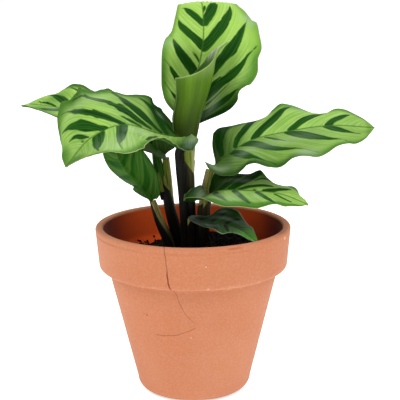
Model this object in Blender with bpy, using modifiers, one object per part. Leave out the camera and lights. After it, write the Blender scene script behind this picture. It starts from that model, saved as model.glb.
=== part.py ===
"""A potted calathea: a clay pot, its soil, five clumps of sheathed stalks and eight leaves.

Metres, +Z up, the pot's axis on Z and its foot on Z = 0. The leaves' broad side faces -Y.
Lengths in the tables below are in millimetres and turned into metres by MM.
"""
from dataclasses import dataclass
from math import cos, exp, radians, sin

import bmesh
import bpy
import numpy as np
from mathutils import Vector

MM = 0.001

# Pot, millimetres
POT_HEIGHT = 95.0
POT_RIM_RADIUS = 55.0
COLLAR_HEIGHT = 24.0
COLLAR_FOOT_RADIUS = 53.2
COLLAR_ROUNDING = 2.8
LIP_ROUNDING = 1.7
INNER_LIP_ROUNDING = 1.6
BODY_TOP_RADIUS = 47.9
FOOT_RADIUS = 32.3
FOOT_ROUNDING = 6.8
POT_WALL = 4.5
POT_FLOOR = 6.0
INNER_FLOOR_RADIUS = 30.3
DRAIN_RADIUS = 6.0
LEDGE_TOP = 78.0
LEDGE_BOTTOM = 73.5
LEDGE_RADIUS = 45.4
LEDGE_TOP_RADIUS = 49.1
POT_SEGMENTS = 48

# Soil, millimetres
SOIL_GAP = 0.4
SOIL_EDGE = 70.0
SOIL_MOUND = 15.0
SOIL_MOUND_CENTRE = (5.0, 14.0)
SOIL_MOUND_SPREAD = 18.0
SOIL_RIM_FADE = 4.0
SOIL_SEGMENTS = 32
SOIL_RINGS = 8
STEM_SEAT = 66.0
STEM_CLEARANCE = 0.5
STEM_FOOT_GAP = 0.7

# Leaf blades, millimetres
BLADE_THICKNESS = 0.8
KEEL_TIP_SHARE = 0.45
WAVE_POWER = 2.4
WAVE_LIMIT = 0.62
LOBE_SPREAD = 1.5
LOBE_FADE = 6


@dataclass(frozen=True)
class Blade:
    """One leaf blade, laid out along its midrib from the stalk to the tip.

    midrib: five points on the midrib's upper side.
    face:   the direction that the upper side faces at the base, the middle and the tip.
    width:  the greatest width left and right of the midrib.
    ends:   how blunt the base and the tip are; less is blunter.
    fold:   how far both halves are raised about the midrib at the base and the tip, degrees.
    lobes:  how far the base reaches back past the stalk, left and right.
    left, right: the rise of the margin's waves at even steps from base to tip.
    keel:   how deep the midrib stands below the upper side at the base.
    """

    midrib: tuple
    face: tuple
    width: tuple
    ends: tuple
    fold: tuple
    lobes: tuple
    left: tuple
    right: tuple
    rows: int = 19
    columns: int = 5
    keel: float = 2.2


BLADES = {
    "tall_leaf": Blade(
        midrib=((0.5, 12.5, 150), (2.5, 18, 174), (6.5, 16, 197), (5.5, 27.5, 217.5), (0.5, 44.5, 203)),
        face=((-0.05, -1, 0.15), (0.05, -0.95, 0.35), (0.1, 0.35, 1)),
        width=(22, 33), ends=(0.5, 0.8), fold=(19, -9), lobes=(-3, -5),
        left=(-1, 0.5, 3.5, -1, -8.5, -8, 0.5, 0), right=(-2.5, 10, 6, 1, 0.5, -4.5, -1, 0)),
    "left_leaf": Blade(
        midrib=((-3, -10.5, 145.5), (-18, -18.5, 150), (-36.5, -24, 156), (-53.5, -34, 150.5),
                (-66.5, -42, 136.5)),
        face=((-0.88, -0.31, 0.37), (0.28, -0.45, 0.85), (-0.78, -0.43, 0.45)),
        width=(28.5, 27), ends=(0.42, 0.45), fold=(12.5, 16.5), lobes=(8, -4),
        left=(-6, 6.5, 7.5, 3, 0, -1.5, 2.5, 2), right=(7.5, -1.5, -2, -5.5, -2, 10.5, -7, -20)),
    "far_left_leaf": Blade(
        midrib=((-15, 8.5, 133.5), (-34, 9, 146.5), (-54.5, 19, 152.5), (-77, 25.5, 158), (-96.5, 41.5, 158)),
        face=((0.1, -0.47, 0.88), (0.04, -0.38, 0.92), (0, -0.48, 0.88)),
        width=(21.5, 26), ends=(0.3, 0.45), fold=(16, 11), lobes=(7, 9),
        left=(4.5, 1.5, 1, 0.5, 0.5, 1.5, 5, 4.5), right=(0.5, 0, -1.5, -4, -6, 0, -1, -6)),
    "drooping_leaf": Blade(
        midrib=((-22.5, 6, 108), (-30.5, 6, 118.5), (-39, 12, 127), (-44, 19, 137), (-46.5, 24, 148)),
        face=((0.4, 0.65, 0.5), (0.3, 0.8, 0.45), (0.3, 0.8, 0.4)),
        width=(18, 17.5), ends=(0.35, 0.55), fold=(12, 9), lobes=(3, -1),
        left=(-9.5, -5, -1, 0.5, 1, 2, 1, 0), right=(2.5, 3, 5, 3.5, 2, -0.5, -0.5, 0), rows=15),
    "right_leaf": Blade(
        midrib=((11.5, 6, 127), (30.5, 2, 141.5), (52.5, -5, 148.5), (76, -10, 152.5), (100, -9.5, 151)),
        face=((0.34, -0.03, 0.32), (0.03, -0.59, 0.81), (0.1, -0.56, 0.82)),
        width=(22.5, 26), ends=(0.35, 0.65), fold=(12, -3), lobes=(0, 5),
        left=(3.5, -6, -9, -1.5, -6.5, -11, -1, -0.5), right=(1.5, 1, 1.5, -3, 1.5, -4.5, 3, -8)),
    "lower_right_leaf": Blade(
        midrib=((8.5, -3, 113), (16, -13.5, 117.5), (31.5, -17.5, 118), (48, -19.5, 116.5),
                (63, -24.5, 111.5)),
        face=((-0.05, -0.6, 0.8), (0, -0.43, 0.9), (0.17, -0.43, 0.89)),
        width=(17, 21.5), ends=(0.4, 0.65), fold=(13, 6), lobes=(1, 12),
        left=(9.5, -1, -4.5, -4, -0.5, -9, -4, -10), right=(4, 8, 2, 1, -1, 1, 0, 2)),
    "small_leaf": Blade(
        midrib=((-1.5, -12, 102.5), (6, -18.5, 101), (16.5, -22, 100.5), (26.5, -27, 98), (35, -33.5, 93)),
        face=((0.08, -0.55, 0.83), (0.09, -0.53, 0.84), (0.16, -0.46, 0.88)),
        width=(9.5, 9.5), ends=(0.5, 0.6), fold=(11, 9), lobes=(0, 0),
        left=(-5, -5.5, -2.5, 0.5, 0.5, -4, -3.5, -7.5), right=(3, 4.5, 3, 1.5, -0.5, 1.5, 2.5, 1.5),
        rows=15, columns=4, keel=1.4),
}

# Stalks: each clump is one or more round shoots grown together. A shoot is a list of
# (x, y, z, radius) in millimetres from its foot in the soil to its upper end.
STEMS = {
    "main_stem": (
        ((-3.5, -2.5, 66.4, 2.6), (-3.9, -2.8, 87, 2.8), (-5.1, -3, 110, 2.6), (-6.3, -4.5, 130, 2.5),
         (-6.8, -6.6, 137, 2.6), (-5.4, -8.6, 141.0, 2.2)),
        ((-0.5, 1.2, 66.4, 3.4), (-1.6, 1, 87, 3.6), (-2.5, 1.2, 110, 3.6), (-3.2, 1.4, 130, 3.6),
         (-3.5, 1.5, 140.4, 4.2)),
        ((-1.8, 2.2, 100, 1.6), (-1.2, 6.5, 122, 1.8), (-0.2, 10.8, 138, 1.8), (0.4, 11.6, 149.5, 1.6)),
    ),
    "left_stem": (
        ((-4.5, 8.5, 66.4, 3), (-8.6, 8, 84, 3.3), (-12.9, 7, 101, 3.1), (-16, 6.5, 113, 2.4),
         (-19, 6, 125, 0.6)),
        ((-10.5, 7.4, 92, 1.8), (-13.4, 7.4, 108, 2.2), (-14.4, 8, 120, 2.1), (-15.1, 8.6, 131.7, 1.9)),
    ),
    "drooping_stem": (
        ((-9, 3, 66.4, 2.4), (-13.8, 3, 84, 2.8), (-18.5, 4, 95.5, 2.7), (-22.7, 5.8, 106.5, 1.9)),
    ),
    "right_stem": (
        ((4.6, -4, 66.4, 2.7), (4.9, -3, 86, 3), (6, 0, 100, 3.1), (7.8, 3, 113, 2.9), (10.8, 6.1, 125, 2)),
        ((5.9, -3.4, 84, 1.8), (7.4, -3.6, 98, 1.9), (7.9, -2.6, 110.8, 1.7)),
    ),
    "small_stem": (
        ((0, -9.5, 66.4, 1.7), (-0.8, -10, 84, 1.7), (-1.5, -11.7, 100.7, 1.4)),
    ),
}
STEM_SIDES = 12

# The rolled leaf: a blade furled into a cone, open to the left. Heights, centres and radii of
# the cone, then the rim's height by direction round it, from its near edge to its far edge.
ROLL_HEIGHTS = (141.4, 144, 147, 155, 167, 178, 198)
ROLL_CENTRE_X = (-3.5, -3.7, -3.8, -3.3, -0.3, 1.0, 4.5)
ROLL_CENTRE_Y = (1.2, 1.0, 1.0, 1.0, 1.2, 2.0, 3.0)
ROLL_RADII = (3.0, 5.4, 6.4, 7.4, 8.2, 10.2, 9.8)
ROLL_RIM_ANGLES = (200, 235, 270, 305, 335, 355, 380, 400, 425, 450, 490, 530)
ROLL_RIM_HEIGHTS = (178, 179, 181, 184.5, 189, 193.5, 199.5, 192, 185, 179, 173, 167)
ROLL_TIP_ANGLE = 385
ROLL_TIP_SPREAD = 22.0
ROLL_TIP_START = 186.0
ROLL_TIP_RISE = 12.0
ROLL_TIP_SHARPNESS = 2.2
ROLL_TIP_REACH = 9.5
ROLL_ROWS = 11
ROLL_ROW_CROWDING = 1.25
ROLL_COLUMNS = 22

COLOURS = {
    "pot": ((0.66, 0.26, 0.13, 1.0), 0.8),
    "soil": ((0.02, 0.015, 0.012, 1.0), 0.95),
    "stem": ((0.09, 0.10, 0.025, 1.0), 0.55),
    "blade": ((0.13, 0.32, 0.06, 1.0), 0.45),
    "rolled": ((0.22, 0.38, 0.06, 1.0), 0.5),
}


def clear_scene():
    """Remove every object that the file holds."""
    for item in list(bpy.data.objects):
        bpy.data.objects.remove(item, do_unlink=True)


def collection(name):
    """Return a collection linked to the scene."""
    made = bpy.data.collections.new(name)
    bpy.context.scene.collection.children.link(made)
    return made


def material(name, key):
    """Return a Principled material of one of the colours."""
    colour, roughness = COLOURS[key]
    made = bpy.data.materials.new(name)
    made.use_nodes = True
    shader = made.node_tree.nodes["Principled BSDF"]
    shader.inputs["Base Color"].default_value = colour
    shader.inputs["Roughness"].default_value = roughness
    shader.inputs["Metallic"].default_value = 0.0
    return made


def place(name, mesh, group, key=None):
    """Return a new object with the mesh, in the collection, shaded smooth."""
    thing = bpy.data.objects.new(name, mesh)
    group.objects.link(thing)
    if key:
        mesh.materials.clear()
        mesh.materials.append(material(name + "_finish", key))
        mesh.shade_smooth()
        mesh.set_sharp_from_angle(angle=radians(50))
    return thing


def evaluated_mesh(thing):
    """Return a plain mesh of the object with its modifiers, caps welded."""
    bpy.context.view_layer.update()
    graph = bpy.context.evaluated_depsgraph_get()
    mesh = bpy.data.meshes.new_from_object(thing.evaluated_get(graph))
    work = bmesh.new()
    work.from_mesh(mesh)
    bmesh.ops.remove_doubles(work, verts=work.verts, dist=0.00002)
    bmesh.ops.recalc_face_normals(work, faces=work.faces)
    work.to_mesh(mesh)
    work.free()
    return mesh


def turned(name, profile, group, segments):
    """Return an object turned about Z from a closed profile of (radius, height) in mm."""
    mesh = bpy.data.meshes.new(name)
    count = len(profile)
    points = [(r * MM, 0.0, z * MM) for r, z in profile]
    edges = [(i, (i + 1) % count) for i in range(count)]
    mesh.from_pydata(points, edges, [])
    thing = bpy.data.objects.new(name, mesh)
    group.objects.link(thing)
    screw = thing.modifiers.new("turn", "SCREW")
    screw.steps = segments
    screw.render_steps = segments
    screw.use_merge_vertices = True
    screw.merge_threshold = 0.00001
    screw.use_smooth_shade = True
    return thing


def arc(centre, radius, start, end, steps):
    """Return points on an arc of a profile, angles in degrees."""
    turn = [radians(start + (end - start) * i / steps) for i in range(steps + 1)]
    return [(centre[0] + radius * cos(a), centre[1] + radius * sin(a)) for a in turn]


def inner_radius(height):
    """Return the radius of the pot's body inside, at a height in mm."""
    share = (height - POT_FLOOR) / (LEDGE_BOTTOM - POT_FLOOR)
    return INNER_FLOOR_RADIUS + (LEDGE_RADIUS - INNER_FLOOR_RADIUS) * share


def pot_profile():
    """Return the pot's wall, down the outside from the lip and up the inside."""
    lip = LIP_ROUNDING
    outer = arc((POT_RIM_RADIUS - lip, POT_HEIGHT - lip), lip, 90, 5, 4)
    collar_foot = POT_HEIGHT - COLLAR_HEIGHT
    edge = COLLAR_ROUNDING
    outer += arc((COLLAR_FOOT_RADIUS - edge, collar_foot + edge), edge, 0, -80, 4)
    outer += [(BODY_TOP_RADIUS, collar_foot - 0.4)]
    outer += arc((FOOT_RADIUS - FOOT_ROUNDING, FOOT_ROUNDING), FOOT_ROUNDING, 0, -90, 5)
    inner = [(DRAIN_RADIUS, 0.0), (DRAIN_RADIUS, POT_FLOOR), (inner_radius(POT_FLOOR), POT_FLOOR)]
    inner += [(LEDGE_RADIUS, LEDGE_BOTTOM)]
    inner += [(LEDGE_TOP_RADIUS, LEDGE_TOP)]
    turn = INNER_LIP_ROUNDING
    rim = arc((POT_RIM_RADIUS - POT_WALL + turn, POT_HEIGHT - turn), turn, 180, 110, 3)
    return outer + inner + rim


def build_pot(group):
    """Turn the clay pot, open at the drain hole."""
    thing = turned("pot", pot_profile(), group, POT_SEGMENTS)
    thing.data.materials.append(material("pot_finish", "pot"))
    return thing


def soil_height(x, y):
    """Return the soil's height in mm: a mound round the stems, with low uneven ground."""
    dx = x - SOIL_MOUND_CENTRE[0]
    dy = y - SOIL_MOUND_CENTRE[1]
    mound = SOIL_MOUND * exp(-(dx * dx + dy * dy) / (2 * SOIL_MOUND_SPREAD ** 2))
    uneven = 0.7 * sin(0.19 * x + 0.6) * cos(0.23 * y) + 0.4 * sin(0.41 * x - 0.33 * y)
    return SOIL_EDGE + mound + uneven


def shoot(name, points, group, grow=0.0):
    """Return a round shoot through (x, y, z, radius) points in mm, as a welded mesh object."""
    curve = bpy.data.curves.new(name + "_path", "CURVE")
    curve.dimensions = "3D"
    curve.bevel_depth = MM
    curve.bevel_resolution = (STEM_SIDES - 4) // 2
    curve.use_fill_caps = True
    path = smooth_path([p[:3] for p in points], 3 * len(points))
    radii = smooth_path([(p[3], 0, 0) for p in points], 3 * len(points), by_index=True)
    spline = curve.splines.new("POLY")
    spline.points.add(len(path) - 1)
    for point, place_mm, radius in zip(spline.points, path, radii):
        point.co = (*(place_mm * MM), 1.0)
        point.radius = radius[0] + grow
    thing = bpy.data.objects.new(name + "_path", curve)
    group.objects.link(thing)
    mesh = evaluated_mesh(thing)
    solid = bpy.data.objects.new(name, mesh)
    group.objects.link(solid)
    solid.matrix_world = thing.matrix_world.copy()
    bpy.data.objects.remove(thing, do_unlink=True)
    return solid


def smooth_path(points, count, by_index=False):
    """Return count points on a Catmull-Rom curve through the points, even along its length."""
    given = np.asarray(points, float)
    padded = np.vstack([2 * given[0] - given[1], given, 2 * given[-1] - given[-2]])
    spans = len(given) - 1
    steps = np.linspace(0, spans, 40 * spans + 1)
    index = np.minimum(steps.astype(int), spans - 1)
    share = (steps - index)[:, None]
    a, b, c, d = (padded[index + k] for k in range(4))
    curve = 0.5 * (2 * b + (c - a) * share + (2 * a - 5 * b + 4 * c - d) * share ** 2
                   + (3 * b - a - 3 * c + d) * share ** 3)
    if by_index:
        along = steps / spans
    else:
        along = np.r_[0, np.cumsum(np.linalg.norm(np.diff(curve, axis=0), axis=1))]
        along /= along[-1]
    wanted = np.linspace(0, 1, count)
    return np.stack([np.interp(wanted, along, curve[:, k]) for k in range(3)], -1)


def unit(vectors):
    """Return the vectors at length 1."""
    return vectors / np.linalg.norm(vectors, axis=-1, keepdims=True)


def waves(values, share):
    """Return the margin's rise at each share of the length: smooth, and level at the tip."""
    values = np.asarray(values, float)
    count = len(values)
    knots = np.r_[0, (np.arange(count) + 0.5) / count, 1.0]
    heights = np.r_[values[0] * 0.6, values, 0]
    slopes = np.gradient(heights, knots)
    index = np.clip(np.searchsorted(knots, share) - 1, 0, len(knots) - 2)
    span = knots[index + 1] - knots[index]
    u = (share - knots[index]) / span
    return ((2 * u ** 3 - 3 * u ** 2 + 1) * heights[index] + (u ** 3 - 2 * u ** 2 + u) * span * slopes[index]
            + (3 * u ** 2 - 2 * u ** 3) * heights[index + 1] + (u ** 3 - u ** 2) * span * slopes[index + 1])


def blade_grid(leaf):
    """Return the upper side of a blade as a grid of points: rows from base to tip, left to right."""
    share = np.linspace(0, 1, leaf.rows)
    rib = smooth_path(leaf.midrib, leaf.rows)
    along = unit(np.gradient(rib, axis=0))
    base, middle, tip = (np.asarray(v, float) for v in leaf.face)
    s = share[:, None]
    facing = base * (1 - s) * (1 - 2 * s) + middle * 4 * s * (1 - s) + tip * s * (2 * s - 1)
    up = unit(facing - (facing * along).sum(1, keepdims=True) * along)
    side = np.cross(up, along)
    inside = np.clip(share, 0.002, 0.998)
    peak = leaf.ends[0] / (leaf.ends[0] + leaf.ends[1])
    half = (inside / peak) ** leaf.ends[0] * ((1 - inside) / (1 - peak)) ** leaf.ends[1]
    fold = np.radians(leaf.fold[0] * (1 - share) + leaf.fold[1] * share)
    grid = np.zeros((leaf.rows, 2 * leaf.columns + 1, 3))
    grid[:, leaf.columns] = rib
    k = WAVE_POWER
    for number, (sign, values) in enumerate(((1, leaf.left), (-1, leaf.right))):
        slope = waves(values, share) / leaf.width[number]
        slope = WAVE_LIMIT * np.tanh(slope / WAVE_LIMIT)
        reach = leaf.width[number] * half
        for step in range(1, leaf.columns + 1):
            out = step / leaf.columns
            across = reach * (out - 0.5 * slope ** 2 * k * k / (2 * k - 1) * out ** (2 * k - 1))
            rise = reach * slope * out ** k
            flat = across * np.cos(fold) - rise * np.sin(fold)
            lift = across * np.sin(fold) + rise * np.cos(fold)
            back = leaf.lobes[number] * out ** LOBE_SPREAD * (1 - share) ** LOBE_FADE * half
            grid[:, leaf.columns - sign * step] = (
                rib + sign * side * flat[:, None] + up * lift[:, None] - along * back[:, None])
    return grid


def sheet(name, grid, depths, group, key, pointed):
    """Return a solid blade from its upper side: Solidify below it, thicker along the keel.

    depths gives each point's thickness in mm; pointed closes the last row in one tip.
    """
    rows, columns = grid.shape[:2]
    work = bmesh.new()
    rings = [[work.verts.new(Vector(grid[i, j]) * MM) for j in range(columns)]
             for i in range(rows - 1 if pointed else rows)]
    middle = (columns - 1) // 2
    for low, high in zip(rings, rings[1:]):
        for j in range(columns - 1):
            corners = (low[j], low[j + 1], high[j + 1], high[j])
            if j < middle:
                work.faces.new((corners[0], corners[1], corners[3]))
                work.faces.new((corners[1], corners[2], corners[3]))
            else:
                work.faces.new((corners[0], corners[1], corners[2]))
                work.faces.new((corners[0], corners[2], corners[3]))
    if pointed:
        tip = work.verts.new(Vector(grid[-1, middle]) * MM)
        for j in range(columns - 1):
            work.faces.new((rings[-1][j], rings[-1][j + 1], tip))
    mesh = bpy.data.meshes.new(name)
    work.to_mesh(mesh)
    work.free()
    thing = place(name, mesh, group, key)
    deepest = float(depths.max())
    weights = thing.vertex_groups.new(name="depth")
    for vertex in mesh.vertices:
        i, j = divmod(vertex.index, columns)
        if pointed and i == rows - 1:
            j = middle
        weights.add([vertex.index], float(depths[i, j]) / deepest, "REPLACE")
    shell = thing.modifiers.new("thickness", "SOLIDIFY")
    shell.thickness = deepest * MM
    shell.offset = -1.0
    shell.vertex_group = "depth"
    shell.use_rim = True
    return thing


def build_blade(name, leaf, group):
    """Lay out one blade with its keel under the midrib."""
    grid = blade_grid(leaf)
    depths = np.full(grid.shape[:2], BLADE_THICKNESS)
    depths[:, leaf.columns] = leaf.keel * np.linspace(1.0, KEEL_TIP_SHARE, leaf.rows)
    return sheet(name, grid, depths, group, "blade", True)


def roll_grid():
    """Return the rolled leaf's outer side: rows from the stalk up, columns round the cone."""
    angles = np.linspace(ROLL_RIM_ANGLES[0], ROLL_RIM_ANGLES[-1], ROLL_COLUMNS)
    rim = np.interp(angles, ROLL_RIM_ANGLES, ROLL_RIM_HEIGHTS)
    grid = np.zeros((ROLL_ROWS, ROLL_COLUMNS, 3))
    foot = ROLL_HEIGHTS[0]
    for i in range(ROLL_ROWS):
        share = (i / (ROLL_ROWS - 1)) ** ROLL_ROW_CROWDING
        height = foot + (rim - foot) * share
        radius = np.interp(height, ROLL_HEIGHTS, ROLL_RADII)
        near_tip = np.exp(-((angles - ROLL_TIP_ANGLE) / ROLL_TIP_SPREAD) ** 2)
        raised = np.clip((height - ROLL_TIP_START) / ROLL_TIP_RISE, 0, 1) ** ROLL_TIP_SHARPNESS
        radius = radius + ROLL_TIP_REACH * near_tip * raised
        turn = np.radians(angles)
        grid[i, :, 0] = np.interp(height, ROLL_HEIGHTS, ROLL_CENTRE_X) + radius * np.cos(turn)
        grid[i, :, 1] = np.interp(height, ROLL_HEIGHTS, ROLL_CENTRE_Y) + radius * np.sin(turn)
        grid[i, :, 2] = height
    return grid


def build_rolled_leaf(group):
    """Furl the new leaf into its open cone."""
    grid = roll_grid()[:, ::-1]
    depths = np.full(grid.shape[:2], BLADE_THICKNESS)
    return sheet("rolled_leaf", grid, depths, group, "rolled", False)


def boolean(target, others, operation):
    """Join the others to the target, or cut them from it, and keep the result as its mesh."""
    for other in others:
        step = target.modifiers.new("join", "BOOLEAN")
        step.object = other
        step.operation = operation
        step.solver = "EXACT"
    mesh = evaluated_mesh(target)
    target.modifiers.clear()
    target.data = mesh
    for other in others:
        bpy.data.objects.remove(other, do_unlink=True)
    return target


def build_stem(name, shoots, group):
    """Join one clump's shoots into one solid."""
    solids = [shoot(name if i == 0 else f"{name}_{i}", points, group) for i, points in enumerate(shoots)]
    first = solids[0]
    if len(solids) > 1:
        first = boolean(first, solids[1:], "UNION")
    first.data.materials.clear()
    first.data.materials.append(material(name + "_finish", "stem"))
    first.data.shade_smooth()
    first.data.set_sharp_from_angle(angle=radians(50))
    return first


def build_soil(group, cutters):
    """Fill the pot with soil, mounded round the stems, with a plain hole for each shoot."""
    rim = inner_radius(SOIL_EDGE) - SOIL_GAP
    profile = [(rim * i / SOIL_RINGS, SOIL_EDGE) for i in range(SOIL_RINGS + 1)]
    bottom = POT_FLOOR + SOIL_GAP
    profile += [(inner_radius(bottom) - SOIL_GAP, bottom), (0.0, bottom)]
    thing = turned("soil", profile, group, SOIL_SEGMENTS)
    mesh = evaluated_mesh(thing)
    thing.modifiers.clear()
    thing.data = mesh
    for vertex in mesh.vertices:
        if vertex.co.z > (SOIL_EDGE - 1) * MM:
            x = vertex.co.x / MM
            y = vertex.co.y / MM
            edge = min(1.0, max(0.0, (rim - (x * x + y * y) ** 0.5) / SOIL_RIM_FADE))
            vertex.co.z = (SOIL_EDGE + (soil_height(x, y) - SOIL_EDGE) * edge) * MM
    holes = []
    for name, shoots in STEMS.items():
        for number, points in enumerate(shoots):
            x, y, foot, radius = points[0]
            if foot > STEM_SEAT + 1:
                continue
            below = (x, y, foot - STEM_FOOT_GAP, radius)
            holes.append(shoot(f"hole_{name}_{number}", (below, *points[:3]), cutters, STEM_CLEARANCE))
    thing = boolean(thing, holes, "DIFFERENCE")
    thing.data.materials.append(material("soil_finish", "soil"))
    return thing


def main():
    """Build the whole plant in its pot."""
    clear_scene()
    group = collection("potted_calathea")
    cutters = collection("cutters")
    build_pot(group)
    build_soil(group, cutters)
    for name, shoots in STEMS.items():
        build_stem(name, shoots, group)
    for name, leaf in BLADES.items():
        build_blade(name, leaf, group)
    build_rolled_leaf(group)


main()
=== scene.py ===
"""Dress the potted calathea: leaves, stalks, soil and clay pot, with a studio round them.

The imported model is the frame. Sizes in the classes below are in millimetres, as in the part's
source, and are turned into metres when a mesh is made.
"""

import logging
from collections.abc import Iterator
from contextlib import contextmanager
from dataclasses import dataclass, field
from enum import Enum
from math import cos, pi, radians, sin

import bmesh
import bpy
import numpy as np
from mathutils import Matrix, Vector

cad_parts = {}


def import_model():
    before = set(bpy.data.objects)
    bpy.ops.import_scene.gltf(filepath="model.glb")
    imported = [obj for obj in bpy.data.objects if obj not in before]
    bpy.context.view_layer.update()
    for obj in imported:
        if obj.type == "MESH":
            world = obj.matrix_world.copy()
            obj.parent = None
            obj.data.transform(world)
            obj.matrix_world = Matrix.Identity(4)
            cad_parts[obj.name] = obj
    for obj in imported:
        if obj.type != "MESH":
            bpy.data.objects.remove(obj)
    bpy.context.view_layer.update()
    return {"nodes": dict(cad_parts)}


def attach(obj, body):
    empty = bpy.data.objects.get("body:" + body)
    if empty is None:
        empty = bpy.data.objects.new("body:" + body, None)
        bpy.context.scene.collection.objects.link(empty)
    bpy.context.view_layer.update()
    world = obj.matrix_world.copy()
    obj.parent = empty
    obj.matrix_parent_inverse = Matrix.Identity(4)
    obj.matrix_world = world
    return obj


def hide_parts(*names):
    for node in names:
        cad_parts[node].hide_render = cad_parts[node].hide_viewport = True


MM = 0.001
PER_METRE = 1000.0
MERGE = 0.000002
BODY = "root"
LOG = logging.getLogger("calathea")

Colour = tuple[float, float, float, float]
Point = tuple[float, float, float]
Array = np.ndarray
Mesh = bpy.types.Mesh
Material = bpy.types.Material
LEVEL = ((0, 0), (1, 0))


class Side(Enum):
    """The two halves of a blade, with the sign of the way that they lie from its midrib."""

    LEFT = 1
    RIGHT = -1


class Tone(Enum):
    """The finishes that a leaf blade may have: striped, and a darker copy that is partly painted shade."""

    STRIPED = "striped"
    DEEP = "deep"


class Wash(Enum):
    """What a soft patch on a blade does to its colour: painted shade, fuller green, painted light, painted sheen."""

    SHADE = "shade"
    GREEN = "green"
    PAINTED_LIGHT = "painted_light"
    PAINTED_SHEEN = "painted_sheen"


def tint(red: int, green: int, blue: int) -> Colour:
    """Turn a screen colour into the linear colour that a shader takes.

    Args:
        red: red, 0 to 255.
        green: green, 0 to 255.
        blue: blue, 0 to 255.

    Returns:
        Linear red, green, blue and an alpha of 1.
    """
    linear = [c / 255 / 12.92 if c <= 10 else ((c / 255 + 0.055) / 1.055) ** 2.4 for c in (red, green, blue)]
    return (linear[0], linear[1], linear[2], 1.0)


def unit(vectors: Array) -> Array:
    """Return the vectors at length 1."""
    return vectors / np.maximum(np.linalg.norm(vectors, axis=-1, keepdims=True), 1e-9)


def spline(points: Array, wanted: Array) -> Array:
    """Interpolate along the first axis with a Catmull-Rom curve through every point.

    Args:
        points: the given points, one a row.
        wanted: shares of the whole, 0 to 1, counted evenly from point to point.

    Returns:
        The curve's points at the wanted shares.
    """
    given = np.asarray(points, float)
    padded = np.concatenate([2 * given[:1] - given[1:2], given, 2 * given[-1:] - given[-2:-1]])
    spans = len(given) - 1
    steps = np.asarray(wanted, float) * spans
    index = np.clip(steps.astype(int), 0, spans - 1)
    share = (steps - index).reshape((-1,) + (1,) * (given.ndim - 1))
    a, b, c, d = (padded[index + k] for k in range(4))
    return 0.5 * (2 * b + (c - a) * share + (2 * a - 5 * b + 4 * c - d) * share ** 2
                  + (3 * b - a - 3 * c + d) * share ** 3)


def smooth_path(points: tuple, count: int) -> Array:
    """Return count points on a smooth curve through the points, even along its length."""
    given = np.asarray(points, float)
    steps = 40
    curve = spline(given, np.linspace(0, 1, steps * (len(given) - 1) + 1))
    along = np.r_[0, np.cumsum(np.linalg.norm(np.diff(curve, axis=0), axis=1))]
    wanted = np.linspace(0, 1, count)
    return np.stack([np.interp(wanted, along / along[-1], curve[:, k]) for k in range(3)], -1)


def knots(table: tuple, share: Array) -> Array:
    """Read a table of (share, value) pairs at each share, easing from pair to pair.

    Args:
        table: pairs in rising order of share.
        share: where to read it.

    Returns:
        The values, level beyond the ends.
    """
    given = np.asarray(table, float)
    index = np.clip(np.searchsorted(given[:, 0], share) - 1, 0, len(given) - 2)
    span = given[index + 1, 0] - given[index, 0]
    u = np.clip((share - given[index, 0]) / span, 0, 1)
    ease = u * u * (3 - 2 * u)
    return given[index, 1] * (1 - ease) + given[index + 1, 1] * ease


def waves(values: tuple, share: Array) -> Array:
    """Return a margin's rise at each share of the length: smooth, and level at the tip."""
    given = np.asarray(values, float)
    count = len(given)
    at = np.r_[0, (np.arange(count) + 0.5) / count, 1.0]
    base_share = 0.6
    heights = np.r_[given[0] * base_share, given, 0]
    slopes = np.gradient(heights, at)
    index = np.clip(np.searchsorted(at, share) - 1, 0, len(at) - 2)
    span = at[index + 1] - at[index]
    u = (share - at[index]) / span
    return ((2 * u ** 3 - 3 * u ** 2 + 1) * heights[index] + (u ** 3 - 2 * u ** 2 + u) * span * slopes[index]
            + (3 * u ** 2 - 2 * u ** 3) * heights[index + 1] + (u ** 3 - u ** 2) * span * slopes[index + 1])


def grid_normals(grid: Array) -> Array:
    """Return the way that each point of a grid faces, by the grid's rows and columns."""
    along = np.gradient(grid, axis=0)
    across = np.gradient(grid, axis=1)
    return unit(np.cross(across, along))


def grid_faces(rows: int, columns: int, first: int = 0, flipped: bool = False) -> Array:
    """Return the four-sided faces of a grid of points.

    Args:
        rows: how many rows of points it has.
        columns: how many points a row has.
        first: the number of its first point.
        flipped: whether the faces point the other way.

    Returns:
        One face a row, as four point numbers.
    """
    i, j = np.meshgrid(np.arange(rows - 1), np.arange(columns - 1), indexing="ij")
    low = (first + i * columns + j).ravel()
    faces = np.stack([low, low + 1, low + columns + 1, low + columns], -1)
    return faces[:, ::-1] if flipped else faces


def plain_mesh(name: str, points: Array, faces: Array, fields: dict[str, Array]) -> Mesh:
    """Make a mesh of four-sided faces.

    Args:
        name: the mesh's name.
        points: the points in millimetres.
        faces: four point numbers a face.
        fields: named values, one for each point, that the materials read.

    Returns:
        The mesh, in metres.
    """
    mesh = bpy.data.meshes.new(name)
    mesh.vertices.add(len(points))
    mesh.vertices.foreach_set("co", (np.asarray(points) * MM).astype(np.float32).ravel())
    mesh.loops.add(4 * len(faces))
    mesh.loops.foreach_set("vertex_index", np.asarray(faces, np.int32).ravel())
    mesh.polygons.add(len(faces))
    mesh.polygons.foreach_set("loop_start", np.arange(0, 4 * len(faces), 4, dtype=np.int32))
    mesh.update(calc_edges=True)
    mesh.validate()
    for key, values in fields.items():
        store_values(mesh, key, values)
    mesh.shade_smooth()
    return mesh


def store_values(mesh: Mesh, name: str, values: Array) -> None:
    """Give a mesh a named value at each of its points."""
    layer = mesh.attributes.new(name, "FLOAT", "POINT")
    layer.data.foreach_set("value", np.asarray(values, np.float32).ravel())


@contextmanager
def opened(mesh: Mesh) -> Iterator[bmesh.types.BMesh]:
    """Open a mesh for changes; then turn its faces outwards, write it back and shade it smooth."""
    work = bmesh.new()
    work.from_mesh(mesh)
    yield work
    bmesh.ops.recalc_face_normals(work, faces=work.faces)
    work.to_mesh(mesh)
    work.free()
    mesh.shade_smooth()


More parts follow.
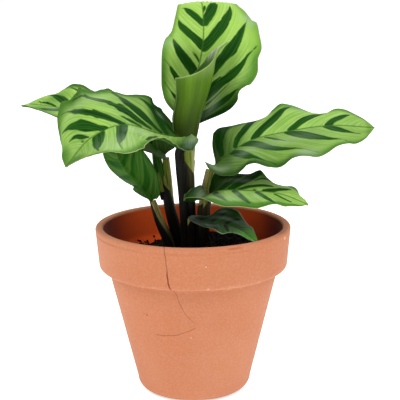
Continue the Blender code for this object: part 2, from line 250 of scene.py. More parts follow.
def closed_skin(name: str, upper: Array, lower: Array, fields: dict[str, Array]) -> Mesh:
    """Make one closed skin of two grids of points that lie one under the other.

    Args:
        name: the mesh's name.
        upper: the points of the upper side, by row and column, in millimetres.
        lower: the points of the lower side.
        fields: named values of the upper points, which the lower ones take too.

    Returns:
        The mesh, with one more value, "under": 0 on the upper side and 1 on the lower.
    """
    rows, columns = upper.shape[:2]
    count = rows * columns
    index = np.arange(count).reshape(rows, columns)
    ring = np.r_[index[0], index[1:, -1], index[-1, -2::-1], index[-2:0:-1, 0]]
    after = np.roll(ring, -1)
    rim = np.stack([after, ring, ring + count, after + count], -1)
    faces = np.concatenate([grid_faces(rows, columns), grid_faces(rows, columns, count, True), rim])
    values = {key: np.tile(upper_values.ravel(), 2) for key, upper_values in fields.items()}
    values["under"] = np.repeat((0.0, 1.0), count)
    mesh = plain_mesh(name, np.concatenate([upper.reshape(-1, 3), lower.reshape(-1, 3)]), faces, values)
    with opened(mesh) as work:
        bmesh.ops.remove_doubles(work, verts=work.verts, dist=MERGE)
        bmesh.ops.dissolve_degenerate(work, edges=work.edges, dist=MERGE)
    return mesh


def add_object(name: str, data: bpy.types.ID) -> bpy.types.Object:
    """Add an object with its mesh, light or camera to the scene."""
    thing = bpy.data.objects.new(name, data)
    bpy.context.scene.collection.objects.link(thing)
    return thing


def piece(name: str, mesh: Mesh, finish: Material | None, node: str) -> None:
    """Show a finished mesh in place of a CAD node.

    Args:
        name: the piece's name.
        mesh: its mesh, in the model's own place.
        finish: its material, or None where the mesh has its own.
        node: the node that it stands for.
    """
    thing = add_object(name, mesh)
    if finish:
        mesh.materials.clear()
        mesh.materials.append(finish)
    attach(thing, BODY)
    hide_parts(node)
    LOG.info("%s: %d faces", name, len(mesh.polygons))


class Value:
    """An output in a node tree. Arithmetic with it adds Math nodes to the tree."""

    def __init__(self, tree: "NodeTree", socket: bpy.types.NodeSocket) -> None:
        """Keep the output, and the tree that it is in."""
        self.tree = tree
        self.socket = socket

    def __add__(self, other: object) -> "Value":
        """Return the sum with another value."""
        return self.tree.math("ADD", self, other)

    def __sub__(self, other: object) -> "Value":
        """Return the difference from another value."""
        return self.tree.math("SUBTRACT", self, other)

    def __mul__(self, other: object) -> "Value":
        """Return the product with another value."""
        return self.tree.math("MULTIPLY", self, other)

    def __truediv__(self, other: object) -> "Value":
        """Return the quotient by another value."""
        return self.tree.math("DIVIDE", self, other)

    def __abs__(self) -> "Value":
        """Return the value without its sign."""
        return self.tree.math("ABSOLUTE", self)


class NodeTree:
    """A node tree, with short ways to add nodes to it."""

    def __init__(self, tree: bpy.types.NodeTree) -> None:
        """Keep the tree that the nodes are added to."""
        self.tree = tree

    def feed(self, socket: bpy.types.NodeSocket, value: object) -> None:
        """Set an input to a plain value, or join another node's output to it."""
        if isinstance(value, Value):
            self.tree.links.new(value.socket, socket)
        else:
            socket.default_value = value

    def add(self, kind: str, feeds: dict[object, object] | None = None, out: object = 0,
            **settings: object) -> Value:
        """Add a node.

        Args:
            kind: the node's type.
            feeds: its inputs by name or number: plain values, or other nodes' outputs.
            out: the name or number of the output that is wanted.
            settings: its own properties.

        Returns:
            The output.
        """
        node = self.tree.nodes.new(kind)
        for key, value in settings.items():
            setattr(node, key, value)
        for key, value in (feeds or {}).items():
            self.feed(node.inputs[key], value)
        return Value(self, node.outputs[out])

    def math(self, operation: str, a: object, b: object = 0.0) -> Value:
        """Return the result of a Math node."""
        return self.add("ShaderNodeMath", {0: a, 1: b}, operation=operation)

    def axes(self, vector: Value) -> tuple[Value, ...]:
        """Return a vector's three parts."""
        split = self.add("ShaderNodeSeparateXYZ", {0: vector}).socket.node
        return tuple(Value(self, output) for output in split.outputs)

    def vector(self, x: object, y: object, z: object = 0.0) -> Value:
        """Put three values together as a vector."""
        return self.add("ShaderNodeCombineXYZ", {0: x, 1: y, 2: z})

    def ease(self, value: Value, low: float, high: float, start: float = 0.0, end: object = 1.0) -> Value:
        """Return a value that eases from start to end as another goes from low to high."""
        if low > high:
            low, high, start, end = high, low, end, start
        return self.add("ShaderNodeMapRange", {
            "Value": value, "From Min": low, "From Max": high, "To Min": start, "To Max": end},
            interpolation_type="SMOOTHSTEP")

    def noise(self, vector: Value, scale: float, detail: float = 2.0, rough: float = 0.5) -> Value:
        """Return a Noise texture's value, 0 to 1, about 0.5."""
        return self.add("ShaderNodeTexNoise", {
            "Vector": vector, "Scale": scale, "Detail": detail, "Roughness": rough})


class ShaderTree(NodeTree):
    """A material's node tree, with one Principled shader at its end."""

    def __init__(self, name: str) -> None:
        """Start the material."""
        self.material = bpy.data.materials.new(name)
        self.material.use_nodes = True
        super().__init__(self.material.node_tree)

    def read(self, name: str) -> Value:
        """Return one of the mesh's named values."""
        return self.add("ShaderNodeAttribute", out="Fac", attribute_name=name)

    def place(self) -> Value:
        """Return the place on the object, in metres."""
        return self.add("ShaderNodeTexCoord", out="Object")

    def mix(self, factor: object, a: object, b: object, blend: str = "MIX") -> Value:
        """Mix two colours, by a factor of 0 to 1."""
        colour_a, colour_b, mixed_colour = 6, 7, 2
        return self.add("ShaderNodeMix", {"Factor": factor, colour_a: a, colour_b: b}, mixed_colour,
                        data_type="RGBA", blend_type=blend, clamp_factor=True)

    def paint(self, colour: object, *coats: tuple) -> Value:
        """Mix coats over a colour, one after the other, each given as its factor and colour."""
        for factor, coat, *blend in coats:
            colour = self.mix(factor, colour, coat, *blend)
        return colour

    def bump(self, height: Value, strength: float, depth: float) -> Value:
        """Return the normal of a surface with small relief, depth in metres."""
        return self.add("ShaderNodeBump", {"Strength": strength, "Distance": depth, "Height": height})

    def finish(self, colour: Value, rough: object, relief: Value | None,
               fixed: dict[str, object]) -> Material:
        """Join colour, roughness and relief to the shader, and set its fixed values.

        Args:
            colour: the base colour.
            rough: the roughness.
            relief: the normal, or None for a plain surface.
            fixed: other sockets' values, by name.

        Returns:
            The finished material.
        """
        feeds = {"Base Color": colour, "Roughness": rough, **fixed}
        if relief:
            feeds["Normal"] = relief
        for key, value in feeds.items():
            self.feed(self.tree.nodes["Principled BSDF"].inputs[key], value)
        return self.material


class GrowthTree(NodeTree):
    """A Geometry Nodes tree with named inputs, and the way to run it on a mesh."""

    def __init__(self, name: str, whole: tuple[str, ...], real: tuple[str, ...]) -> None:
        """Start a tree whose inputs are a geometry, whole numbers and real numbers."""
        super().__init__(bpy.data.node_groups.new(name, "GeometryNodeTree"))
        kinds = {"Geometry": "NodeSocketGeometry"}
        kinds |= dict.fromkeys(whole, "NodeSocketInt") | dict.fromkeys(real, "NodeSocketFloat")
        for key, kind in kinds.items():
            self.tree.interface.new_socket(name=key, in_out="INPUT", socket_type=kind)
        self.tree.interface.new_socket(name="Geometry", in_out="OUTPUT", socket_type="NodeSocketGeometry")
        outputs = self.tree.nodes.new("NodeGroupInput").outputs
        self.given = {socket.name: Value(self, socket) for socket in outputs}

    def place(self) -> Value:
        """Return each point's place, in metres."""
        return self.add("GeometryNodeInputPosition")

    def read(self, name: str) -> Value:
        """Return a named value of each point."""
        return self.add("GeometryNodeInputNamedAttribute", {"Name": name}, data_type="FLOAT")

    def store(self, geometry: Value, name: str, value: Value) -> Value:
        """Keep a value of each point under a name."""
        return self.add("GeometryNodeStoreNamedAttribute", {"Geometry": geometry, "Name": name, "Value": value},
                        data_type="FLOAT", domain="POINT")

    def swell(self, geometry: Value, lift: Value) -> Value:
        """Move each point outwards along its normal."""
        normal = self.add("GeometryNodeInputNormal")
        shift = self.add("ShaderNodeVectorMath", {0: normal, "Scale": lift}, operation="SCALE")
        return self.add("GeometryNodeSetPosition", {"Geometry": geometry, "Offset": shift})

    def end(self, geometry: Value, finish: Material) -> None:
        """End the tree: copies made real, and the finish set."""
        real = self.add("GeometryNodeRealizeInstances", {0: geometry})
        dressed = self.add("GeometryNodeSetMaterial", {"Geometry": real, "Material": finish})
        self.feed(self.tree.nodes.new("NodeGroupOutput").inputs[0], dressed)

    def run(self, name: str, mesh: Mesh, values: dict[str, object]) -> Mesh:
        """Run the tree on a mesh, and return the result as a plain mesh.

        Args:
            name: the new mesh's name.
            mesh: the mesh that the tree starts from.
            values: the tree's inputs, by name.

        Returns:
            The evaluated mesh, free of modifiers.
        """
        carrier = add_object(name + "_path", mesh)
        step = carrier.modifiers.new("growth", "NODES")
        step.node_group = self.tree
        for item in self.tree.interface.items_tree:
            if item.in_out == "INPUT" and item.name in values:
                step[item.identifier] = values[item.name]
        bpy.context.view_layer.update()
        graph = bpy.context.evaluated_depsgraph_get()
        made = bpy.data.meshes.new_from_object(carrier.evaluated_get(graph))
        made.name = name
        carrier.modifiers.remove(step)
        bpy.data.objects.remove(carrier, do_unlink=True)
        made.shade_smooth()
        return made


@dataclass(frozen=True)
class BladeForm:
    """A blade's form, with the same fields and values as the part's source.

    midrib: five points on the midrib's upper side.
    face:   the direction that the upper side faces at the base, the middle and the tip.
    width:  the greatest width left and right of the midrib.
    ends:   how blunt the base and the tip are; less is blunter.
    fold:   how far both halves are raised about the midrib at the base and the tip, degrees.
    lobes:  how far the base reaches back past the stalk, left and right.
    left, right: the rise of the margin's waves at even steps from base to tip.
    frill:  how far the fine margin stands out past the plain one, left and right, by share.
    lift:   how far the fine margin stands above the plain one, left and right, by share.
    frill_power:  how close to the margin the frill stays.
    lift_profile: (high, fall): at a share u of the half width the lift is u * u * (high - fall * u).
    wave_power, wave_limit: how close to the margin the waves stay, and how steep they get.
    lobe_spread, lobe_fade: how close to the margin and to the base the lobes stay.
    """

    midrib: tuple
    face: tuple
    width: tuple
    ends: tuple
    fold: tuple
    lobes: tuple
    left: tuple
    right: tuple
    rows: int = 19
    columns: int = 5
    keel: float = 2.2
    frill: tuple = (LEVEL, LEVEL)
    lift: tuple = (LEVEL, LEVEL)
    frill_power: int = 5
    lift_profile: tuple = (2.2, 1.4)
    wave_power: float = 2.4
    wave_limit: float = 0.62
    lobe_spread: float = 1.5
    lobe_fade: float = 6

    def grid(self) -> Array:
        """Return the plain upper side: rows from base to tip, columns from left to right."""
        share = np.linspace(0, 1, self.rows)
        rib = smooth_path(self.midrib, self.rows)
        along = unit(np.gradient(rib, axis=0))
        base, middle, tip = (np.asarray(v, float) for v in self.face)
        s = share[:, None]
        facing = base * (1 - s) * (1 - 2 * s) + middle * 4 * s * (1 - s) + tip * s * (2 * s - 1)
        up = unit(facing - (facing * along).sum(1, keepdims=True) * along)
        side = np.cross(up, along)
        near_end = 0.002
        inside = np.clip(share, near_end, 1 - near_end)
        peak = self.ends[0] / (self.ends[0] + self.ends[1])
        half = (inside / peak) ** self.ends[0] * ((1 - inside) / (1 - peak)) ** self.ends[1]
        fold = np.radians(self.fold[0] * (1 - share) + self.fold[1] * share)
        grid = np.zeros((self.rows, 2 * self.columns + 1, 3))
        grid[:, self.columns] = rib
        k = self.wave_power
        for half_side, width, lobe, values in zip(Side, self.width, self.lobes, (self.left, self.right)):
            sign = half_side.value
            slope = self.wave_limit * np.tanh(waves(values, share) / width / self.wave_limit)
            reach = width * half
            for step in range(1, self.columns + 1):
                out = step / self.columns
                across = reach * (out - 0.5 * slope ** 2 * k * k / (2 * k - 1) * out ** (2 * k - 1))
                rise = reach * slope * out ** k
                flat = across * np.cos(fold) - rise * np.sin(fold)
                lift = across * np.sin(fold) + rise * np.cos(fold)
                back = lobe * out ** self.lobe_spread * (1 - share) ** self.lobe_fade * half
                grid[:, self.columns - sign * step] = (
                    rib + sign * side * flat[:, None] + up * lift[:, None] - along * back[:, None])
        grid[-1] = grid[-1, self.columns]
        return grid


@dataclass(frozen=True)
class BladeFinish:
    """A leaf's colours and gloss, upper side and lower side, with painted shade, light and sheen.

    ground, pale:      the light green between the stripes, and its paler streaks.
    stripe, deep:      the dark stripes, and their darkest parts.
    border:            the fuller green outside the stripes.
    margin:            the thin line along the edge.
    rib:               the midrib's line.
    under, under_pale: the lower side, and its paler streaks.
    shade, painted_light: the colours that painted shade and painted light lean to; random lighter patches too.
    painted_sheen:     the pale grey of painted sheen.
    margin_highlight:  the pale line along a lit edge, a painted highlight.
    line_width:        how wide that line is, in mm.
    vein_step:         the way from one fine rib to the next, in mm.
    stripe_edge:       how soft a stripe's edge is, and wobble how uneven, in mm.
    streak_stretch:    how fast a streak changes along its length, against its width.
    relief:            how strong the small relief is, and its depth in metres.
    """

    name: str
    ground: Colour
    pale: Colour
    stripe: Colour
    deep: Colour
    border: Colour
    margin: Colour
    rib: Colour
    under: Colour
    under_pale: Colour
    shade: Colour
    painted_light: Colour
    painted_sheen: Colour
    margin_highlight: Colour
    line_width: float = 0.6
    rough: float = 0.54
    gloss: float = 0.07
    vein_step: float = 1.25
    stripe_edge: float = 0.38
    wobble: float = 0.5
    streak_stretch: float = 0.07
    relief: tuple = (0.35, 0.0003)

    def material(self) -> Material:
        """Build the finish: stripes and streaks along the side veins, fine ribs, and painted shade, light and sheen.
        """
        tree = ShaderTree(self.name)
        vein, rib, tone, under = (tree.read(name) for name in ("vein", "rib", "tone", "under"))
        lined = tree.vector(vein, rib * self.streak_stretch)
        streak = tree.noise(lined, 0.55, 4.0, 0.6)
        fine = tree.noise(lined, 2.4)
        patch = tree.noise(tree.place(), 70.0, 3.0, 0.55)
        wobble = (tree.noise(tree.place(), 420.0, 3.0) - 0.5) * self.wobble
        band = tree.ease(tree.read("stripe") + wobble, -self.stripe_edge, self.stripe_edge)
        border = tree.ease(tree.read("out") + (streak - 0.5) * 0.22, 0.74, 0.97, 0.0, 0.85)
        lines = tree.math("SINE", vein * (2 * pi / self.vein_step))
        # Tone is painted shade below 0, darkening both sides towards the shade colour, and painted light above 0,
        # brightening the ground; the patch noise varies the green at random.
        painted_shade = tree.math("MINIMUM", tone, 0.0)
        light = tree.paint(
            self.ground,
            (tree.ease(streak, 0.35, 0.7), self.pale),
            (tree.ease(patch, 0.45, 0.75, 0.0, 0.3), self.painted_light),
            (tree.ease(patch, 0.5, 0.25, 0.0, 0.14), self.border),
            (border, self.border),
            (tree.math("MAXIMUM", tone, 0.0), self.painted_light))
        below = tree.paint(
            self.under,
            (tree.ease(streak, 0.4, 0.68), self.under_pale),
            (tree.ease(rib, 1.1, 0.4, 0.0, 0.5), self.under_pale),
            (painted_shade * -0.8, self.shade))
        # Painted sheen: pale grey where the painted sheen patches lie.
        bloom_and_sheen = tree.read("painted_sheen") * tree.ease(fine, 0.25, 0.7, 0.55, 1.0)
        drawn = tree.ease(tree.read("edge"), self.line_width, self.line_width / 3)
        colour = tree.paint(
            light,
            (band, tree.mix(tree.ease(streak, 0.36, 0.66), self.deep, self.stripe)),
            (tree.ease(lines, 0.6, 1.0, 0.0, 0.13), self.deep),
            (tree.ease(fine, 0.55, 0.8, 0.0, 0.25), self.pale, "SOFT_LIGHT"),
            (painted_shade * -1.0, self.shade),
            (tree.ease(rib, 0.7, 0.2, 0.0, 0.7), self.rib),
            (under * 0.88, below),
            (bloom_and_sheen, self.painted_sheen),
            # The margin's line: dark where lit is low, a painted highlight where lit is high, weaker where the blade
            # is painted darker.
            (drawn * tree.ease(tone, -0.9, -0.3, 0.3, 0.75),
             tree.mix(tree.read("lit"), self.margin, self.margin_highlight)))
        relief = (lines * 0.35 + fine * 0.6) * tree.ease(rib, 0.3, 3.0, 0.2, 1.0)
        rough = tree.ease(patch, 0.3, 0.8, self.rough - 0.05, self.rough + 0.08) + under * 0.15
        return tree.finish(colour, rough, tree.bump(relief, *self.relief), {"Specular IOR Level": self.gloss})


STRIPED = BladeFinish(
    name="leaf_striped", ground=tint(124, 166, 66), pale=tint(160, 196, 108), stripe=tint(32, 86, 14),
    deep=tint(14, 54, 6), border=tint(58, 116, 22), margin=tint(40, 72, 24), rib=tint(54, 92, 26),
    under=tint(22, 74, 2), under_pale=tint(44, 98, 12), shade=tint(10, 52, 2), painted_light=tint(162, 204, 84),
    painted_sheen=tint(170, 190, 160), margin_highlight=tint(190, 196, 132))
# The small leaf's finish, a darker copy of the striped one: partly its own deeper green, partly painted shade.
DEEP = BladeFinish(
    name="leaf_deep", ground=tint(48, 84, 32), pale=tint(74, 108, 54), stripe=tint(18, 44, 18),
    deep=tint(10, 28, 12), border=tint(30, 66, 24), margin=tint(80, 106, 70), rib=tint(64, 74, 58),
    under=tint(26, 58, 20), under_pale=tint(52, 84, 44), shade=tint(16, 32, 16), painted_light=tint(66, 138, 18),
    painted_sheen=tint(158, 172, 162), margin_highlight=tint(150, 168, 136), line_width=0.9, rough=0.42, gloss=0.12)
BLADE_FINISHES = {Tone.STRIPED: STRIPED, Tone.DEEP: DEEP}


def even_band(start: float, end: float, reach: float, width: float) -> tuple:
    """Return a regular stripe, by where it starts and ends and how far out it reaches."""
    swell = ((0.02, 0.75), (0.35, 1.0), (0.7, 0.8), (1.0, 0.12))
    return tuple((start + (end - start) * u ** 1.15, reach * u, width * w) for u, w in swell)


def vein_under(stripe: tuple, bend: float) -> tuple[float, float]:
    """Return where the vein under a stripe leaves the midrib, and how far along it runs by the margin."""
    (near, inner, _), (far, outer, _) = stripe[0], stripe[-1]
    run = (far - near) / (outer ** bend - inner ** bend)
    return near - run * inner ** bend, run


@dataclass(frozen=True)
class Half:
    """One half of a blade, as it would lie flat.

    side:   which half it is.
    share:  each row's share of the midrib's length.
    out:    each column's share of the half width.
    width:  each row's half width in mm.
    length: the midrib's length in mm.
    """

    side: Side
    share: Array
    out: Array
    width: Array
    length: float


@dataclass(frozen=True)
class Leaf:
    """One leaf: its form, its stripes, and its painted shade and light from base to tip.

    stripes: the dark bands of each half, each as points from the midrib outwards:
             (share of the length, share of the half width, width in mm).
    tone:    (share, tone) pairs of painted shade and light, left and right: -1 is darkest, 1 is brightest.
    patches: soft patches by kind (painted shade, light, sheen, fuller green): (side, share of the length, share of
             the half width, reach along in mm, reach across in mm, strength).
    lit:     how far the margin's line is a pale painted highlight, left and right.
    inward:  how far in the border's fuller green comes, left and right; 1 is the margin alone.
    thickness, edge_share, edge_taper: how thick it is, that at its margin as a share, and how far in.
    keel_end, keel_width:      how much of the keel is left at the tip, and how wide the keel is.
    groove_depth, groove_width: the groove along the midrib.
    bend:    how much the side veins curve.
    puff, puff_step: how high the blade is quilted, from one side vein to the next.
    puff_fade: how far from the midrib and the margin the quilting is full.
    """

    node: str
    form: BladeForm
    stripes: dict[Side, tuple]
    tone: tuple = (LEVEL, LEVEL)
    patches: dict[Wash, tuple] = field(default_factory=dict)
    lit: tuple = (0.0, 0.0)
    inward: tuple = (1.0, 1.0)
    finish: Tone = Tone.STRIPED
    rows: int = 200
    half_columns: int = 44
    thickness: float = 0.42
    edge_share: float = 0.35
    edge_taper: float = 1.5
    keel_end: float = 0.35
    keel_width: float = 1.1
    groove_depth: float = 0.28
    groove_width: float = 0.7
    bend: float = 1.15
    puff: float = 0.16
    puff_step: float = 4.2
    puff_fade: tuple = (3.0, 4.0)

    def refined(self) -> Array:
        """Return the form's grid drawn finer, with every plain point kept and the midrib creased."""
        form = self.form
        high, fall = form.lift_profile
        along = np.linspace(0, 1, self.rows)
        across = np.linspace(0, 1, self.half_columns + 1)
        rows = spline(form.grid(), along)
        halves = []
        for plain, stand, rise in zip((rows[:, form.columns::-1], rows[:, form.columns:]), form.frill, form.lift):
            half = spline(plain.transpose(1, 0, 2), across)
            outward = unit(half[-1] - half[-4])
            half += outward[None] * (across ** form.frill_power)[:, None, None] * knots(stand, along)[None, :, None]
            half[..., 2] += (across ** 2 * (high - fall * across))[:, None] * knots(rise, along)[None]
            halves.append(half)
        left, right = halves
        return np.concatenate([left[:0:-1], right]).transpose(1, 0, 2)

    def veins(self, half: Half) -> Array:
        """Return where on the midrib the side vein through each point leaves it.

        Args:
            half: the half of the blade.

        Returns:
            The share of the midrib, for each row and column.
        """
        shortest, plain_run, closing = 0.3, 0.25, 0.25
        own = sorted(vein_under(stripe, self.bend) for stripe in self.stripes[half.side]
                     if stripe[-1][1] - stripe[0][1] > shortest)
        starts = np.linspace(-0.4, 1.0, 141)
        sweep = np.interp(starts, *zip(*own)) if own else np.full(len(starts), plain_run)
        sweep = sweep * np.clip((1.0 - starts) / closing, 0, 1)
        return np.stack([np.interp(half.share, np.maximum.accumulate(starts + sweep * reach ** self.bend), starts)
                         for reach in half.out], -1)

    def stripe_field(self, half: Half) -> Array:
        """Return how deep inside the nearest stripe each point is, in mm, negative outside.

        Args:
            half: the half of the blade.

        Returns:
            The depth for each row and column.
        """
        far_outside, steps = -20.0, 5
        found = np.full((len(half.share), len(half.out)), far_outside)
        here = np.stack([np.broadcast_to(half.share[:, None] * half.length, found.shape),
                         half.width[:, None] * half.out[None]], -1)
        for stripe in self.stripes[half.side]:
            line = spline(np.asarray(stripe), np.linspace(0, 1, steps * (len(stripe) - 1) + 1))
            width = np.interp(line[:, 0], half.share, half.width)
            flat = np.stack([line[:, 0] * half.length, line[:, 1] * width], -1)
            for start, end, first, last in zip(flat, flat[1:], line[:, 2], line[1:, 2]):
                step = end - start
                u = np.clip((here - start) @ step / max(float(step @ step), 1e-6), 0, 1)
                gap = np.linalg.norm(here - start - u[..., None] * step, axis=-1)
                found = np.maximum(found, 0.5 * (first + (last - first) * u) - gap)
        return found

    def wash(self, half: Half, wash: Wash) -> Array:
        """Return how strongly one half's patches of one kind show, for each row and column."""
        found = np.zeros((len(half.share), len(half.out)))
        for side, share, out, long, wide, strength in self.patches.get(wash, ()):
            if side is half.side:
                along = (half.share - share)[:, None] * half.length / long
                across = (half.out - out)[None] * half.width[:, None] / wide
                found = np.maximum(found, strength * np.exp(-(along ** 2 + across ** 2)))
        return found

    def fields(self, rib: Array, length: float) -> dict[str, Array]:
        """Return the values that the finish reads, but for the ways from the midrib and the margin.

        Args:
            rib: each point's way from the midrib in mm.
            length: the midrib's length in mm.

        Returns:
            Each value by its name, for each row and column.
        """
        middle = self.half_columns
        found = {name: np.zeros(rib.shape) for name in ("vein", "stripe", "tone", "painted_sheen", "out", "lit")}
        halves = zip(Side, (slice(middle, None, -1), slice(middle, None)), (rib[:, 0], rib[:, -1]),
                     self.tone, self.inward, self.lit)
        for side, columns, width, tone, inward, lit in halves:
            half = Half(side, np.linspace(0, 1, len(rib)), np.linspace(0, 1, middle + 1), width, length)
            # Painted shade and light: the tone table, brightened by painted light patches and darkened by painted
            # shade patches.
            painted_shading = knots(tone, half.share)[:, None] + self.wash(half, Wash.PAINTED_LIGHT) - self.wash(half, Wash.SHADE)
            found["vein"][:, columns] = self.veins(half) * length
            found["stripe"][:, columns] = self.stripe_field(half)
            found["tone"][:, columns] = np.clip(painted_shading, -1, 1)
            found["painted_sheen"][:, columns] = self.wash(half, Wash.PAINTED_SHEEN)
            found["out"][:, columns] = np.maximum(half.out[None] * inward, self.wash(half, Wash.GREEN))
            found["lit"][:, columns] = lit
        return found

    def build(self, finishes: dict[Tone, Material]) -> None:
        """Build the blade as one closed skin, with the values that its finish reads."""
        upper = self.refined()
        middle = self.half_columns
        steps = np.linalg.norm(np.diff(upper, axis=1), axis=2)
        rib = np.zeros(upper.shape[:2])
        rib[:, middle + 1:] = np.cumsum(steps[:, middle:], axis=1)
        rib[:, :middle] = np.cumsum(steps[:, middle - 1::-1], axis=1)[:, ::-1]
        edge = np.concatenate([rib[:, :1] - rib[:, :middle + 1], rib[:, -1:] - rib[:, middle + 1:]], axis=1)
        length = float(np.linalg.norm(np.diff(upper[:, middle], axis=0), axis=1).sum())
        fields = self.fields(rib, length) | {"rib": rib, "edge": edge}
        normals = grid_normals(upper)
        taper = np.clip(rib / self.puff_fade[0], 0, 1) * np.clip(edge / self.puff_fade[1], 0, 1)
        puff = self.puff * taper * np.sin(2 * pi * fields["vein"] / self.puff_step)
        groove = self.groove_depth * np.exp(-(rib / self.groove_width) ** 2)
        upper = upper + normals * puff[..., None] - normals * groove[..., None]
        keel = self.form.keel * np.linspace(1.0, self.keel_end, len(rib))[:, None]
        depth = (self.thickness * np.clip(self.edge_share + edge / self.edge_taper, 0, 1)
                 + (keel - self.thickness) * np.exp(-(rib / self.keel_width) ** 2))
        mesh = closed_skin(self.node + "_blade", upper, upper - normals * depth[..., None], fields)
        piece(self.node + "_blade", mesh, finishes[self.finish], self.node)


L = Side.LEFT
R = Side.RIGHT
TALL_LEAF = Leaf(
    node="tall_leaf",
    form=BladeForm(
        midrib=((0.5, 12.5, 150), (2.5, 18, 174), (6.5, 16, 197), (5.5, 27.5, 217.5), (0.5, 44.5, 203)),
        face=((-0.05, -1, 0.15), (0.05, -0.95, 0.35), (0.1, 0.35, 1)),
        width=(22, 33), ends=(0.5, 0.8), fold=(19, -9), lobes=(-3, -5), left=(-1, 0.5, 3.5, -1, -8.5, -8, 0.5, 0),
        right=(-2.5, 10, 6, 1, 0.5, -4.5, -1, 0),
        frill=(((0, 0.4), (0.06, 0.5), (0.104, 1.2), (0.175, 0.5), (0.242, 0), (0.404, 0.2), (0.49, 0.1),
                (0.521, -0.8), (0.567, -1.5), (0.68, -1), (0.733, -0.8), (0.82, -0.2), (1, 0)),
               ((0, 0.8), (0.042, 0.8), (0.129, 1), (0.2, -0.6), (0.279, -1.5), (0.312, -0.2), (0.392, 0.5),
                (0.446, -0.8), (0.487, 0.8), (0.542, 0.2), (0.605, 0.8), (0.622, -1.2), (0.688, -1), (0.725, -1.8),
                (0.78, -0.6), (0.815, 1.8), (0.84, 1), (1, 0)))),
    stripes={
        L: (((0.6, 0.02, 3.6), (0.645, 0.25, 3.8), (0.68, 0.45, 3.2), (0.71, 0.62, 1.2), (0.725, 0.74, 0.5)),
            ((0.471, 0.01, 5.6), (0.5, 0.18, 4.8), (0.531, 0.36, 4.5), (0.564, 0.53, 4.1), (0.602, 0.7, 2.9),
             (0.637, 0.79, 0.5), (0.658, 0.88, 0.5)),
            ((0.27, 0, 5.4), (0.318, 0.15, 5.6), (0.366, 0.36, 5.6), (0.412, 0.56, 4.7), (0.467, 0.73, 2.1),
             (0.496, 0.8, 0.5), (0.521, 0.9, 0.5)),
            ((0.142, 0.08, 5), (0.196, 0.3, 5), (0.247, 0.51, 3.7), (0.3, 0.7, 2.1), (0.325, 0.78, 0.5),
             (0.358, 0.92, 0.5)),
            ((0.046, 0.18, 5), (0.097, 0.41, 3.6), (0.142, 0.64, 2.2), (0.183, 0.77, 0.5), (0.225, 0.9, 0.5)),
            ((0.363, 0, 0.8), (0.395, 0.1, 1.3), (0.423, 0.23, 0.5))),
        R: (((0.605, 0.03, 4.4), (0.655, 0.13, 5.4), (0.693, 0.21, 5.6), (0.718, 0.27, 4.6)),
            ((0.46, 0.02, 5.5), (0.512, 0.15, 5.6), (0.565, 0.29, 5.8), (0.619, 0.44, 5.2), (0.677, 0.59, 2.6),
             (0.71, 0.65, 0.8)),
            ((0.244, 0.13, 5.6), (0.333, 0.24, 5.2), (0.419, 0.37, 5.6), (0.497, 0.56, 5.4), (0.579, 0.75, 1.8),
             (0.608, 0.83, 0.5), (0.63, 0.93, 0.4)),
            ((0.125, 0.13, 4.6), (0.196, 0.34, 5.4), (0.277, 0.49, 5.2), (0.365, 0.63, 4.6), (0.446, 0.78, 1.4),
             (0.471, 0.85, 0.5), (0.492, 0.92, 0.5)),
            ((0.11, 0.29, 1.1), (0.154, 0.44, 1), (0.206, 0.54, 0.8), (0.265, 0.62, 0.4)),
            ((0.223, 0.29, 1.6), (0.254, 0.32, 1.9), (0.282, 0.37, 1.4), (0.31, 0.42, 0.7)),
            ((0.383, 0.09, 0.9), (0.417, 0.14, 1.1), (0.448, 0.21, 0.7)),
            ((0.037, 0.13, 4.4), (0.065, 0.39, 3.6), (0.101, 0.56, 3.6), (0.139, 0.7, 3.7), (0.177, 0.82, 3),
             (0.225, 0.9, 0.5)),
            ((0.672, 0.005, 0.9), (0.69, 0.03, 1.7), (0.708, 0.05, 1.1)))},
    lit=(0.25, 0.35),
    tone=(((0, -0.3), (0.16, 0), (0.3, 0.25), (1, 0.35)),
          ((0, -0.75), (0.12, -0.48), (0.22, -0.2), (0.4, 0.08), (0.55, 0.28), (1, 0.48))),
    patches={
        Wash.SHADE: ((L, 0.3, 0.97, 24, 3, 0.25), (R, 0.03, 0.9, 12, 6, 0.6), (R, 0.42, 0.97, 22, 4, 0.15)),
        Wash.PAINTED_SHEEN: ((L, 0.46, 0.95, 4, 4, 0.3), (R, 0.12, 0.45, 7, 3, 0.35), (R, 0.62, 0.9, 4, 3, 0.4)),
        Wash.PAINTED_LIGHT: ((R, 0.52, 0.9, 5, 3, 0.3),)})
